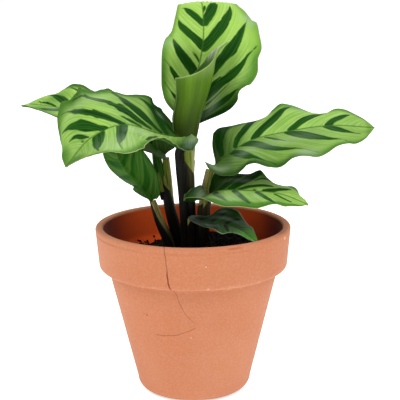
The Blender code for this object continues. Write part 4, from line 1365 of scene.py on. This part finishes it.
@dataclass(frozen=True)
class ClayFinish:
    """Fired clay: orange outside, with specks, lime bloom and a hairline crack; painted shade and light inside.

    crack:   the crack's x at each height, from the collar's lip down, in mm.
    branch:  the short branch's height at each x, in mm.
    spots:   small marks and one painted highlight, as (x, height, half width, half height, colour), in mm.
    dusted:  the height under the collar that the lime bloom lies at, in mm.
    under_lip_shade: the height of the painted shadow line below the lip, in mm.
    chipped: the height where the crack is widest, in mm.
    hairline: how far from a crack's middle it is gone, and where it is full, in mm.
    crack_front, spots_front: the y in front of which the cracks and the marks show, in mm.
    relief:  how strong the small relief is, and its depth in metres.
    """

    clay: Colour = tint(186, 122, 89)
    warm: Colour = tint(181, 112, 77)
    pale: Colour = tint(197, 143, 113)
    # Inside, the dark colour is painted shade and the back wall's brighter colour painted light.
    inside: Colour = tint(112, 18, 2)
    painted_light_back: Colour = tint(248, 92, 28)
    lime: Colour = tint(226, 190, 162)
    mark: Colour = tint(128, 46, 24)
    foot_shade: Colour = tint(112, 78, 40)
    crack_dark: Colour = tint(110, 36, 20)
    crack: tuple = ((95.0, -15.0), (85.4, -13.8), (74.2, -12.7), (68.7, -9.6), (57.4, -4.9), (50.1, 1.5))
    branch: tuple = ((-20.5, 41.8), (-13.0, 42.2), (-6.7, 43.8), (1.4, 47.7))
    spots: tuple = (
        (-25.2, 53.0, 0.45, 0.45, tint(120, 50, 30)), (-26.4, 53.7, 0.3, 0.3, tint(120, 50, 30)),
        (7.0, 85.0, 0.34, 0.34, tint(228, 196, 172)), (-1.3, 41.5, 0.3, 0.3, tint(228, 196, 172)),
        # The pale spot by the lip at x 50.4 is a painted highlight; the other spots are marks.
        (8.0, 72.3, 0.34, 0.34, tint(228, 196, 172)), (50.4, 92.0, 0.6, 1.0, tint(224, 168, 114)),
        (22.2, 93.9, 4.4, 0.6, tint(170, 94, 64)))
    dusted: float = 71.0
    under_lip_shade: float = 91.6
    chipped: float = 77.0
    hairline: tuple = (0.32, 0.1)
    crack_front: float = -20.0
    spots_front: float = -10.0
    rough: float = 0.86
    gloss: float = 0.08
    sheen: float = 0.09
    sheen_rough: float = 0.5
    relief: tuple = (0.4, 0.0004)

    def trace(self, tree: ShaderTree, table: tuple, at: Value) -> Value:
        """Return a curve read from a table of (input, output) in mm, as the trace of a crack."""
        given = np.asarray(sorted(table))
        low, high = given[0, 0], given[-1, 0]
        base, top = given[:, 1].min() - 1, given[:, 1].max() + 1
        curve = tree.add("ShaderNodeFloatCurve", {"Value": (at - low) / (high - low)})
        mapping = curve.socket.node.mapping
        points = mapping.curves[0].points
        while len(points) < len(given):
            points.new(0.5, 0.5)
        for point, (key, value) in zip(points, given):
            point.location = ((key - low) / (high - low), (value - base) / (top - base))
        mapping.update()
        return curve * (top - base) + base

    def line(self, tree: ShaderTree, table: tuple, at: Value, across: Value, wobble: Value,
             girth: object) -> Value:
        """Return how strongly a hairline shows: 1 on it, 0 off it and beyond its ends.

        Args:
            tree: the finish's tree.
            table: the line's course, as for trace.
            at: the place along the line.
            across: the place across it.
            wobble: how far the line strays.
            girth: how wide it is, against a hairline.

        Returns:
            The line's strength.
        """
        off = abs(across - self.trace(tree, table, at) + wobble) / girth
        keys = sorted(key for key, _ in table)
        inside = tree.math("GREATER_THAN", at, keys[0]) * tree.math("LESS_THAN", at, keys[-1])
        return tree.ease(off, *self.hairline) * inside

    def material(self) -> Material:
        """Build the finish from the place on the pot."""
        tree = ShaderTree("clay_finish")
        place = tree.place()
        x, y, z = (part * PER_METRE for part in tree.axes(place))
        cloud = tree.noise(place, 16.0, 4.0, 0.6)
        grain = tree.noise(place, 900.0, 4.0, 0.65)
        sand = tree.noise(place, 2600.0)
        dust = tree.noise(place, 110.0, 5.0, 0.75)
        rings = tree.noise(tree.vector(0.0, 0.0, z), 0.9, 3.0, 0.6)
        bloom_and_sheen = tree.ease(abs(z - self.dusted), 3.4, 0.4) * tree.ease(dust, 0.45, 0.7)
        # A painted shadow line under the lip, patchy with the cloud noise.
        under_lip_shade = tree.ease(abs(z - self.under_lip_shade), 1.1, 0.2, 0.0, 0.34)
        wobble = (tree.noise(place, 260.0, 3.0) - 0.5) * 1.1
        heavy = tree.ease(abs(z - self.chipped), 7.0, 3.0)
        collar = tree.ease(z, 69.5, 72.5)
        long = self.line(tree, self.crack, z, x, wobble, heavy * tree.noise(place, 700.0) + 1.05)
        short = self.line(tree, self.branch, x, z, wobble, 1.25)
        crack = tree.math("MAXIMUM", long, short) * tree.math("LESS_THAN", y, self.crack_front)
        colour = tree.paint(
            self.warm,
            (tree.ease(cloud, 0.35, 0.7), self.clay),
            (tree.ease(grain, 0.35, 0.75, 0.0, 0.4), self.pale),
            (tree.ease(sand, 0.62, 0.75, 0.0, 0.3), self.mark),
            (tree.ease(rings, 0.5, 0.8, 0.0, 0.25), self.pale),
            (bloom_and_sheen * tree.ease(x, -30.0, 22.0, 0.1, 0.26), self.lime),
            (under_lip_shade * tree.ease(cloud, 0.35, 0.62), self.mark),
            (tree.ease(z, 2.2, 0.2, 0.0, 0.75), self.foot_shade),
            (crack * (heavy * 0.35 + collar * 0.15 + 0.45), tree.mix(collar, self.mark, self.crack_dark)))
        for spot_x, spot_z, half_width, half_height, spot_colour in self.spots:
            dx = (x - spot_x) / half_width
            dz = (z - spot_z) / half_height
            away = tree.math("SQRT", dx * dx + dz * dz)
            shown = tree.ease(away, 1.3, 0.5, 0.0, 0.8) * tree.math("LESS_THAN", y, self.spots_front)
            colour = tree.mix(shown, colour, spot_colour)
        # The inside: painted shade, brightened towards the back by painted light, with grain marks.
        lining = tree.paint(
            self.inside,
            (tree.ease(y, 12.0, 46.0), self.painted_light_back),
            (tree.ease(grain, 0.4, 0.75, 0.0, 0.15), self.mark))
        colour = tree.mix(tree.read("inside") * 0.94, colour, lining)
        relief = grain * 0.5 + sand * 0.3 + rings * 0.5 - crack * 0.8
        return tree.finish(colour, self.rough, tree.bump(relief, *self.relief), {
            "Specular IOR Level": self.gloss, "Sheen Weight": self.sheen,
            "Sheen Roughness": self.sheen_rough})


@dataclass(frozen=True)
class ClayPot:
    """The clay pot, turned about its axis, with the same sizes as the part's source.

    undercut:      the small step under the collar: how far out it stands, and its two drops in mm.
    segments:      how many faces it has round its axis.
    step:          the greatest way between two points of its profile.
    turn_radius:   the radius of the circle that the profile is swept along.
    turning_marks: how high the faint turning marks are.
    marks_stretch: how close they are together, across and up the pot.
    """

    node: str = "pot"
    height: float = 95.0
    rim_radius: float = 55.0
    collar_height: float = 24.0
    collar_foot_radius: float = 53.2
    collar_rounding: float = 2.8
    lip_rounding: float = 1.7
    inner_lip_rounding: float = 1.6
    body_top_radius: float = 47.9
    foot_radius: float = 32.3
    foot_rounding: float = 6.8
    wall: float = 4.5
    floor: float = 6.0
    inner_floor_radius: float = 30.3
    drain_radius: float = 6.0
    ledge_top: float = 78.0
    ledge_bottom: float = 73.5
    ledge_radius: float = 45.4
    ledge_top_radius: float = 49.1
    undercut: Point = (0.5, 0.1, 0.7)
    segments: int = 256
    step: float = 1.4
    turn_radius: float = 40.0
    turning_marks: float = 0.07
    marks_stretch: Point = (6.0, 6.0, 260.0)

    def arc(self, centre: tuple, radius: float, start: float, end: float, steps: int = 8) -> list:
        """Return points on an arc of the profile, angles in degrees."""
        turn = [radians(start + (end - start) * i / steps) for i in range(steps + 1)]
        return [(centre[0] + radius * cos(a), centre[1] + radius * sin(a)) for a in turn]

    def profile(self) -> Array:
        """Return the wall as (radius, height), down the outside and up the inside."""
        lip, inner_lip = self.lip_rounding, self.inner_lip_rounding
        edge, corner = self.collar_rounding, self.foot_rounding
        foot = self.height - self.collar_height
        step_out, first_drop, second_drop = self.undercut
        line = [
            *self.arc((self.rim_radius - lip, self.height - lip), lip, 90, 5),
            *self.arc((self.collar_foot_radius - edge, foot + edge), edge, 0, -80),
            (self.body_top_radius + step_out, foot - first_drop), (self.body_top_radius, foot - second_drop),
            *self.arc((self.foot_radius - corner, corner), corner, 0, -90, 14),
            (self.drain_radius, 0.0), (self.drain_radius, self.floor),
            (self.inner_floor_radius, self.floor), (self.ledge_radius, self.ledge_bottom),
            (self.ledge_top_radius, self.ledge_top),
            *self.arc((self.rim_radius - self.wall + inner_lip, self.height - inner_lip), inner_lip, 180, 110)]
        return self.filled(line)

    def filled(self, line: list) -> Array:
        """Return a profile with points added, so that none are further apart than the step."""
        full = []
        for start, end in zip(line, line[1:] + line[:1]):
            reach = ((end[0] - start[0]) ** 2 + (end[1] - start[1]) ** 2) ** 0.5
            parts = max(1, round(reach / self.step))
            full += [tuple(a + (b - a) * i / parts for a, b in zip(start, end)) for i in range(parts)]
        return np.asarray(full)

    def profile_mesh(self) -> Mesh:
        """Return the profile as a ring of points, with a mark on those of the inside."""
        line = self.profile()
        count = len(line)
        mesh = bpy.data.meshes.new("pot_profile")
        mesh.from_pydata([((r - self.turn_radius) * MM, -z * MM, 0.0) for r, z in line],
                         [(i, (i + 1) % count) for i in range(count)], [])
        start = np.argmin(np.abs(line - (self.drain_radius, self.floor)).sum(1))
        below_lip = line[:, 1] < self.height - self.inner_lip_rounding + 0.1
        store_values(mesh, "inside", (np.arange(count) >= start) & below_lip)
        return mesh

    def build(self, finish: Material) -> None:
        """Turn the pot with a tree that sweeps its profile round, with faint turning marks."""
        grow = GrowthTree("turning", ("Segments",), ("Turn Radius", "Marks"))
        given = grow.given
        profile = grow.add("GeometryNodeMeshToCurve", {0: given["Geometry"]})
        circle = grow.add("GeometryNodeCurvePrimitiveCircle", {
            "Resolution": given["Segments"], "Radius": given["Turn Radius"]})
        wall = grow.add("GeometryNodeCurveToMesh", {"Curve": circle, "Profile Curve": profile})
        stretched = grow.add("ShaderNodeVectorMath", {0: grow.place(), 1: self.marks_stretch},
                             operation="MULTIPLY")
        grow.end(grow.swell(wall, (grow.noise(stretched, 1.0) - 0.5) * given["Marks"]), finish)
        made = grow.run("clay_pot", self.profile_mesh(), {
            "Segments": self.segments, "Turn Radius": self.turn_radius * MM, "Marks": 2 * self.turning_marks * MM})
        with opened(made) as work:
            for vertex in work.verts:
                vertex.co.z = max(vertex.co.z, 0.0)
        piece("clay_pot", made, finish, self.node)


@dataclass(frozen=True)
class SoilFinish:
    """Dark potting soil or its crumbs."""

    name: str
    dark: Colour
    light: Colour
    fleck: Colour
    rough: float = 0.95
    gloss: float = 0.08
    relief: tuple = (0.8, 0.0012)

    def material(self) -> Material:
        """Build the finish from the place on the soil."""
        tree = ShaderTree(self.name)
        clump = tree.noise(tree.place(), 220.0, 4.0, 0.65)
        grain = tree.noise(tree.place(), 1400.0, 3.0, 0.6)
        colour = tree.paint(
            self.dark,
            (tree.ease(clump, 0.4, 0.7), self.light),
            (tree.ease(grain, 0.62, 0.75, 0.0, 0.6), self.fleck))
        relief = tree.bump(clump + grain * 0.5, *self.relief)
        return tree.finish(colour, self.rough, relief, {"Specular IOR Level": self.gloss})


@dataclass(frozen=True)
class Litter:
    """Small lumps that lie on a surface, as one piece.

    name:     the piece's name.
    size:     their mean radius in mm.
    per_area: how many lie on a square millimetre.
    reach:    how far from the pot's axis they may lie, in mm.
    """

    name: str
    size: float
    per_area: float
    reach: float


@dataclass(frozen=True)
class PottingSoil:
    """The soil's mounded bed, with crumbs and white grains scattered on it.

    heaps:         small loose heaps by the wall, as (x, y, height, spread) in mm.
    edge_fade:     how far in from the wall the bed is level, in mm.
    uneven_heights, uneven_rates, uneven_shift: the heights of the bed's two slow swells, how fast
                   they change along x and y, and how far the first is shifted.
    clod_height, clod_waves: how high the bed's small lumps are, and how many waves make them.
    clod_turn, clod_shift, clod_fade: how each wave is turned, shifted and made lower than the last.
    clod_rate, clod_rate_step: how fast the first wave changes, and how much faster each next one.
    ledge_turn:    the stretch of the pot's ledge that crumbs lie on, in degrees round from +X.
    ledge_radii, ledge_heights: the ledge's radius and height at the foot and the top of its slope.
    ledge_drifts:  the crumbs there, as (share of its slope that they reach, crumbs).
    wall_rings, floor_rings: how many rings of points the bed's side and bottom have.
    ledge_grid:    how many points the ledge has round and up its slope.
    lump_depth:    how far below the edge's height lumps may lie, in mm.
    lump_turn:     the greatest turn of a lump about each axis, in radians.
    lump_sizes:    the least and the greatest stretch of a lump along its three axes.
    """

    node: str = "soil"
    edge_height: float = 70.0
    mound: float = 15.0
    mound_centre: tuple = (5.0, 14.0)
    mound_spread: float = 18.0
    heaps: tuple = ((28.0, 28.5, 8.0, 9.0), (-12.0, 34.0, 4.0, 8.0))
    bottom: float = 6.4
    top_radius: float = 44.2
    bottom_radius: float = 30.0
    middle_radius: float = 0.02
    edge_fade: float = 4.0
    uneven_heights: tuple = (0.7, 0.4)
    uneven_rates: tuple = (0.19, 0.23, 0.41, 0.33)
    uneven_shift: float = 0.6
    clod_height: float = 0.14
    clod_waves: int = 14
    clod_turn: float = 2.4
    clod_rate: float = 0.9
    clod_rate_step: float = 0.16
    clod_shift: float = 1.7
    clod_fade: float = 0.15
    rings: int = 70
    wall_rings: int = 12
    floor_rings: int = 8
    segments: int = 180
    merge: float = 0.05
    crumbs: Litter = Litter("soil_crumbs", 1.0, 0.55, 42.5)
    grains: Litter = Litter("soil_grains", 0.62, 0.05, 42.0)
    ledge_turn: tuple = (112.0, 134.0)
    ledge_radii: tuple = (44.4, 48.4)
    ledge_heights: tuple = (73.0, 77.6)
    ledge_grid: tuple = (24, 5)
    ledge_drifts: tuple = (
        (0.5, Litter("ledge_crumbs_1", 0.85, 0.7, 60.0)), (1.0, Litter("ledge_crumbs_2", 0.85, 0.14, 60.0)))
    seed: int = 7
    size_seed: int = 3
    lump_sizes: tuple[Point, Point] = ((0.35, 0.35, 0.3), (1.5, 1.2, 0.9))
    lump_roughness: float = 700.0
    lump_depth: float = 2.0
    lump_turn: float = 6.28

    def height(self, x: Array, y: Array) -> Array:
        """Return the height of the bed: the mound of the part's source, and the loose heaps."""
        away = (x - self.mound_centre[0]) ** 2 + (y - self.mound_centre[1]) ** 2
        mound = self.mound * np.exp(-away / (2 * self.mound_spread ** 2))
        (first, second), (a, b, c, d) = self.uneven_heights, self.uneven_rates
        uneven = (first * np.sin(a * x + self.uneven_shift) * np.cos(b * y)
                  + second * np.sin(c * x - d * y))
        loose = sum(rise * np.exp(-((x - at_x) ** 2 + (y - at_y) ** 2) / (2 * spread ** 2))
                    for at_x, at_y, rise, spread in self.heaps)
        return self.edge_height + mound + uneven + loose

    def clods(self, x: Array, y: Array) -> Array:
        """Return the small lumps of the bed, from waves that cross in many directions."""
        lumps = np.zeros_like(x)
        for number in range(self.clod_waves):
            turn = self.clod_turn * number
            rate = self.clod_rate + self.clod_rate_step * number
            wave = np.sin(rate * (x * cos(turn) + y * sin(turn)) + self.clod_shift * number)
            lumps += wave / (1 + self.clod_fade * number)
        return self.clod_height * lumps

    def circles(self, radius: Array, height: object) -> Array:
        """Return points on circles about the pot's axis, a row for each radius."""
        turn = np.linspace(0, 2 * pi, self.segments, endpoint=False)
        x, y = radius[:, None] * np.cos(turn), radius[:, None] * np.sin(turn)
        return np.stack(np.broadcast_arrays(x, y, height), -1)

    def bed(self) -> Mesh:
        """Return the bed: a lumpy top, sides that follow the pot and a flat bottom."""
        radius = np.linspace(self.middle_radius, self.top_radius, self.rings)
        top = self.circles(radius, 0.0)
        x, y = top[..., 0], top[..., 1]
        fade = np.clip((self.top_radius - radius[:, None]) / self.edge_fade, 0, 1)
        top[..., 2] = self.edge_height + (self.height(x, y) - self.edge_height + self.clods(x, y)) * fade
        depth = np.linspace(0, 1, self.wall_rings)[1:]
        side = self.circles(self.top_radius + (self.bottom_radius - self.top_radius) * depth,
                            (self.edge_height + (self.bottom - self.edge_height) * depth)[:, None])
        under = self.circles(np.linspace(self.bottom_radius, self.middle_radius, self.floor_rings)[1:], self.bottom)
        grid = np.concatenate([top, side, under])
        grid = np.concatenate([grid, grid[:, :1]], axis=1)
        mesh = plain_mesh("soil_bed", grid.reshape(-1, 3), grid_faces(*grid.shape[:2]), {})
        with opened(mesh) as work:
            bmesh.ops.remove_doubles(work, verts=work.verts, dist=self.merge * MM)
        return mesh

    def ledge(self, share: float) -> Mesh:
        """Return the stretch of the pot's ledge that loose crumbs lie on, up to a share of its rise."""
        turn = np.radians(np.linspace(*self.ledge_turn, self.ledge_grid[0]))[:, None]
        rise = np.linspace(0, share, self.ledge_grid[1])[None]
        radius, height = (low + (high - low) * rise for low, high in (self.ledge_radii, self.ledge_heights))
        grid = np.stack(np.broadcast_arrays(radius * np.cos(turn), radius * np.sin(turn), height), -1)
        return plain_mesh("soil_ledge", grid.reshape(-1, 3), grid_faces(*grid.shape[:2], flipped=True), {})

    def scatter(self, litter: Litter, bed: Mesh, finish: Material) -> None:
        """Scatter small lumps over the top of a bed, and show them as one piece.

        Args:
            litter: the lumps.
            bed: the mesh that they lie on.
            finish: their material.
        """
        grow = GrowthTree(litter.name, ("Seed",), ("Size", "Density", "Reach"))
        given = grow.given
        x, y, z = grow.axes(grow.place())
        away = grow.add("ShaderNodeVectorMath", {0: grow.vector(x, y)}, "Value", operation="LENGTH")
        upper = grow.math("GREATER_THAN", z, (self.edge_height - self.lump_depth) * MM)
        points = grow.add("GeometryNodeDistributePointsOnFaces", {
            "Mesh": given["Geometry"], "Selection": grow.math("LESS_THAN", away, given["Reach"]) * upper,
            "Density": given["Density"], "Seed": given["Seed"]})
        ball = grow.add("GeometryNodeMeshIcoSphere", {"Radius": given["Size"], "Subdivisions": 1})
        lump = grow.swell(ball, (grow.noise(grow.place(), self.lump_roughness, 1.0) - 0.5) * given["Size"])
        turn = grow.add("FunctionNodeRandomValue", {
            "Min": (0, 0, 0), "Max": (self.lump_turn,) * 3, "Seed": given["Seed"]}, data_type="FLOAT_VECTOR")
        grown = grow.add("FunctionNodeRandomValue", {
            0: self.lump_sizes[0], 1: self.lump_sizes[1], "Seed": self.size_seed}, data_type="FLOAT_VECTOR")
        lumps = grow.add("GeometryNodeInstanceOnPoints", {
            "Points": points, "Instance": lump, "Rotation": grow.add("FunctionNodeEulerToRotation", {0: turn}),
            "Scale": grown})
        grow.end(lumps, finish)
        mesh = grow.run(litter.name, bed.copy(), {
            "Size": litter.size * MM, "Density": litter.per_area / MM ** 2, "Reach": litter.reach * MM,
            "Seed": self.seed})
        piece(litter.name, mesh, None, self.node)

    def build(self, ground: Material, crumb: Material, grain: Material,
              ledge_crumb: Material) -> None:
        """Build the bed and what lies on it."""
        bed = self.bed()
        piece("soil_bed", bed, ground, self.node)
        self.scatter(self.crumbs, bed, crumb)
        self.scatter(self.grains, bed, grain)
        for share, crumbs in self.ledge_drifts:
            self.scatter(crumbs, self.ledge(share), ledge_crumb)


@dataclass(frozen=True)
class Studio:
    """A white floor, soft lights and the camera at the photograph's place.

    camera_place: in mm; pitch and roll in radians, the lens in mm.
    lamps:        each light's name, place in metres and power in watts.
    """

    camera_place: Point = (4.05, -689.3, 265.1)
    pitch: float = 0.2229
    roll: float = 0.0066
    lens: float = 113.31
    sensor: float = 36.0
    clip_start: float = 0.01
    floor_size: float = 14.0
    floor_height: float = -0.0002
    floor_glow: float = 0.55
    world_strength: float = 0.5
    lamps: tuple = (
        ("left_light", (-1.0, -0.72, 1.5), 18.0), ("right_light", (1.0, -0.72, 1.5), 16.0),
        ("back_light", (0.3, 1.0, 1.5), 9.0))
    lamp_aim: Point = (0.0, 0.0, 0.1)
    lamp_size: float = 1.0

    def floor(self) -> None:
        """Lay the white floor."""
        bpy.ops.mesh.primitive_plane_add(size=self.floor_size, location=(0, 0, self.floor_height))
        plane = bpy.context.active_object
        plane.name = "studio_floor"
        tree = ShaderTree("studio_floor_finish")
        colour = tree.mix(tree.noise(tree.place(), 3.0), tint(252, 252, 252), tint(250, 251, 252))
        plane.data.materials.append(tree.finish(colour, 0.9, None, {
            "Specular IOR Level": 0.1, "Emission Color": (1.0, 1.0, 1.0, 1.0),
            "Emission Strength": self.floor_glow}))

    def lamp(self, name: str, place: Point, power: float) -> None:
        """Hang one soft light, in metres and watts, aimed at the plant."""
        light = bpy.data.lights.new(name, "AREA")
        light.shape = "DISK"
        light.size = self.lamp_size
        light.energy = power
        holder = add_object(name, light)
        away = Vector(place) - Vector(self.lamp_aim)
        holder.rotation_euler = away.to_track_quat("Z", "Y").to_euler()
        holder.location = place

    def world(self) -> None:
        """Make the surroundings white."""
        world = bpy.data.worlds.new("studio_world")
        world.use_nodes = True
        shade = world.node_tree.nodes["Background"]
        shade.inputs["Color"].default_value = (1.0, 1.0, 1.0, 1.0)
        shade.inputs["Strength"].default_value = self.world_strength
        bpy.context.scene.world = world

    def camera(self) -> None:
        """Set the camera where the photograph was taken from."""
        lens = bpy.data.cameras.new("camera")
        lens.lens = self.lens
        lens.sensor_width = self.sensor
        lens.clip_start = self.clip_start
        holder = add_object("camera", lens)
        place = tuple(part * MM for part in self.camera_place)
        holder.matrix_world = (Matrix.Translation(place) @ Matrix.Rotation(pi / 2 - self.pitch, 4, "X")
                               @ Matrix.Rotation(-self.roll, 4, "Z"))
        bpy.context.scene.camera = holder

    def build(self) -> None:
        """Build the whole studio."""
        self.camera()
        self.floor()
        self.world()
        for name, place, power in self.lamps:
            self.lamp(name, place, power)
        view = bpy.context.scene.view_settings
        view.view_transform = "Standard"
        view.look = "None"
        view.exposure = 0.0


def main() -> None:
    """Load the frame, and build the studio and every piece."""
    logging.basicConfig(level=logging.INFO, format="%(name)s: %(message)s")
    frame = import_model()
    LOG.info("%d nodes in the frame", len(frame["nodes"]))
    Studio().build()
    ClayPot().build(ClayFinish().material())
    PottingSoil().build(
        SoilFinish("soil_finish", tint(9, 9, 7), tint(24, 21, 15), tint(48, 40, 30)).material(),
        SoilFinish("crumb_finish", tint(11, 10, 8), tint(34, 28, 20), tint(78, 62, 46)).material(),
        SoilFinish("grain_finish", tint(206, 200, 190), tint(236, 232, 224), tint(170, 160, 146)).material(),
        SoilFinish("ledge_crumb_finish", tint(26, 8, 4), tint(58, 22, 12), tint(130, 84, 62)).material())
    Stalks(CLUMPS).build(StalkFinish().material())
    finishes = {tone: look.material() for tone, look in BLADE_FINISHES.items()}
    for leaf in LEAVES:
        leaf.build(finishes)
    RolledLeaf().build(RolledFinish().material())


if __name__ == "__main__":
    main()
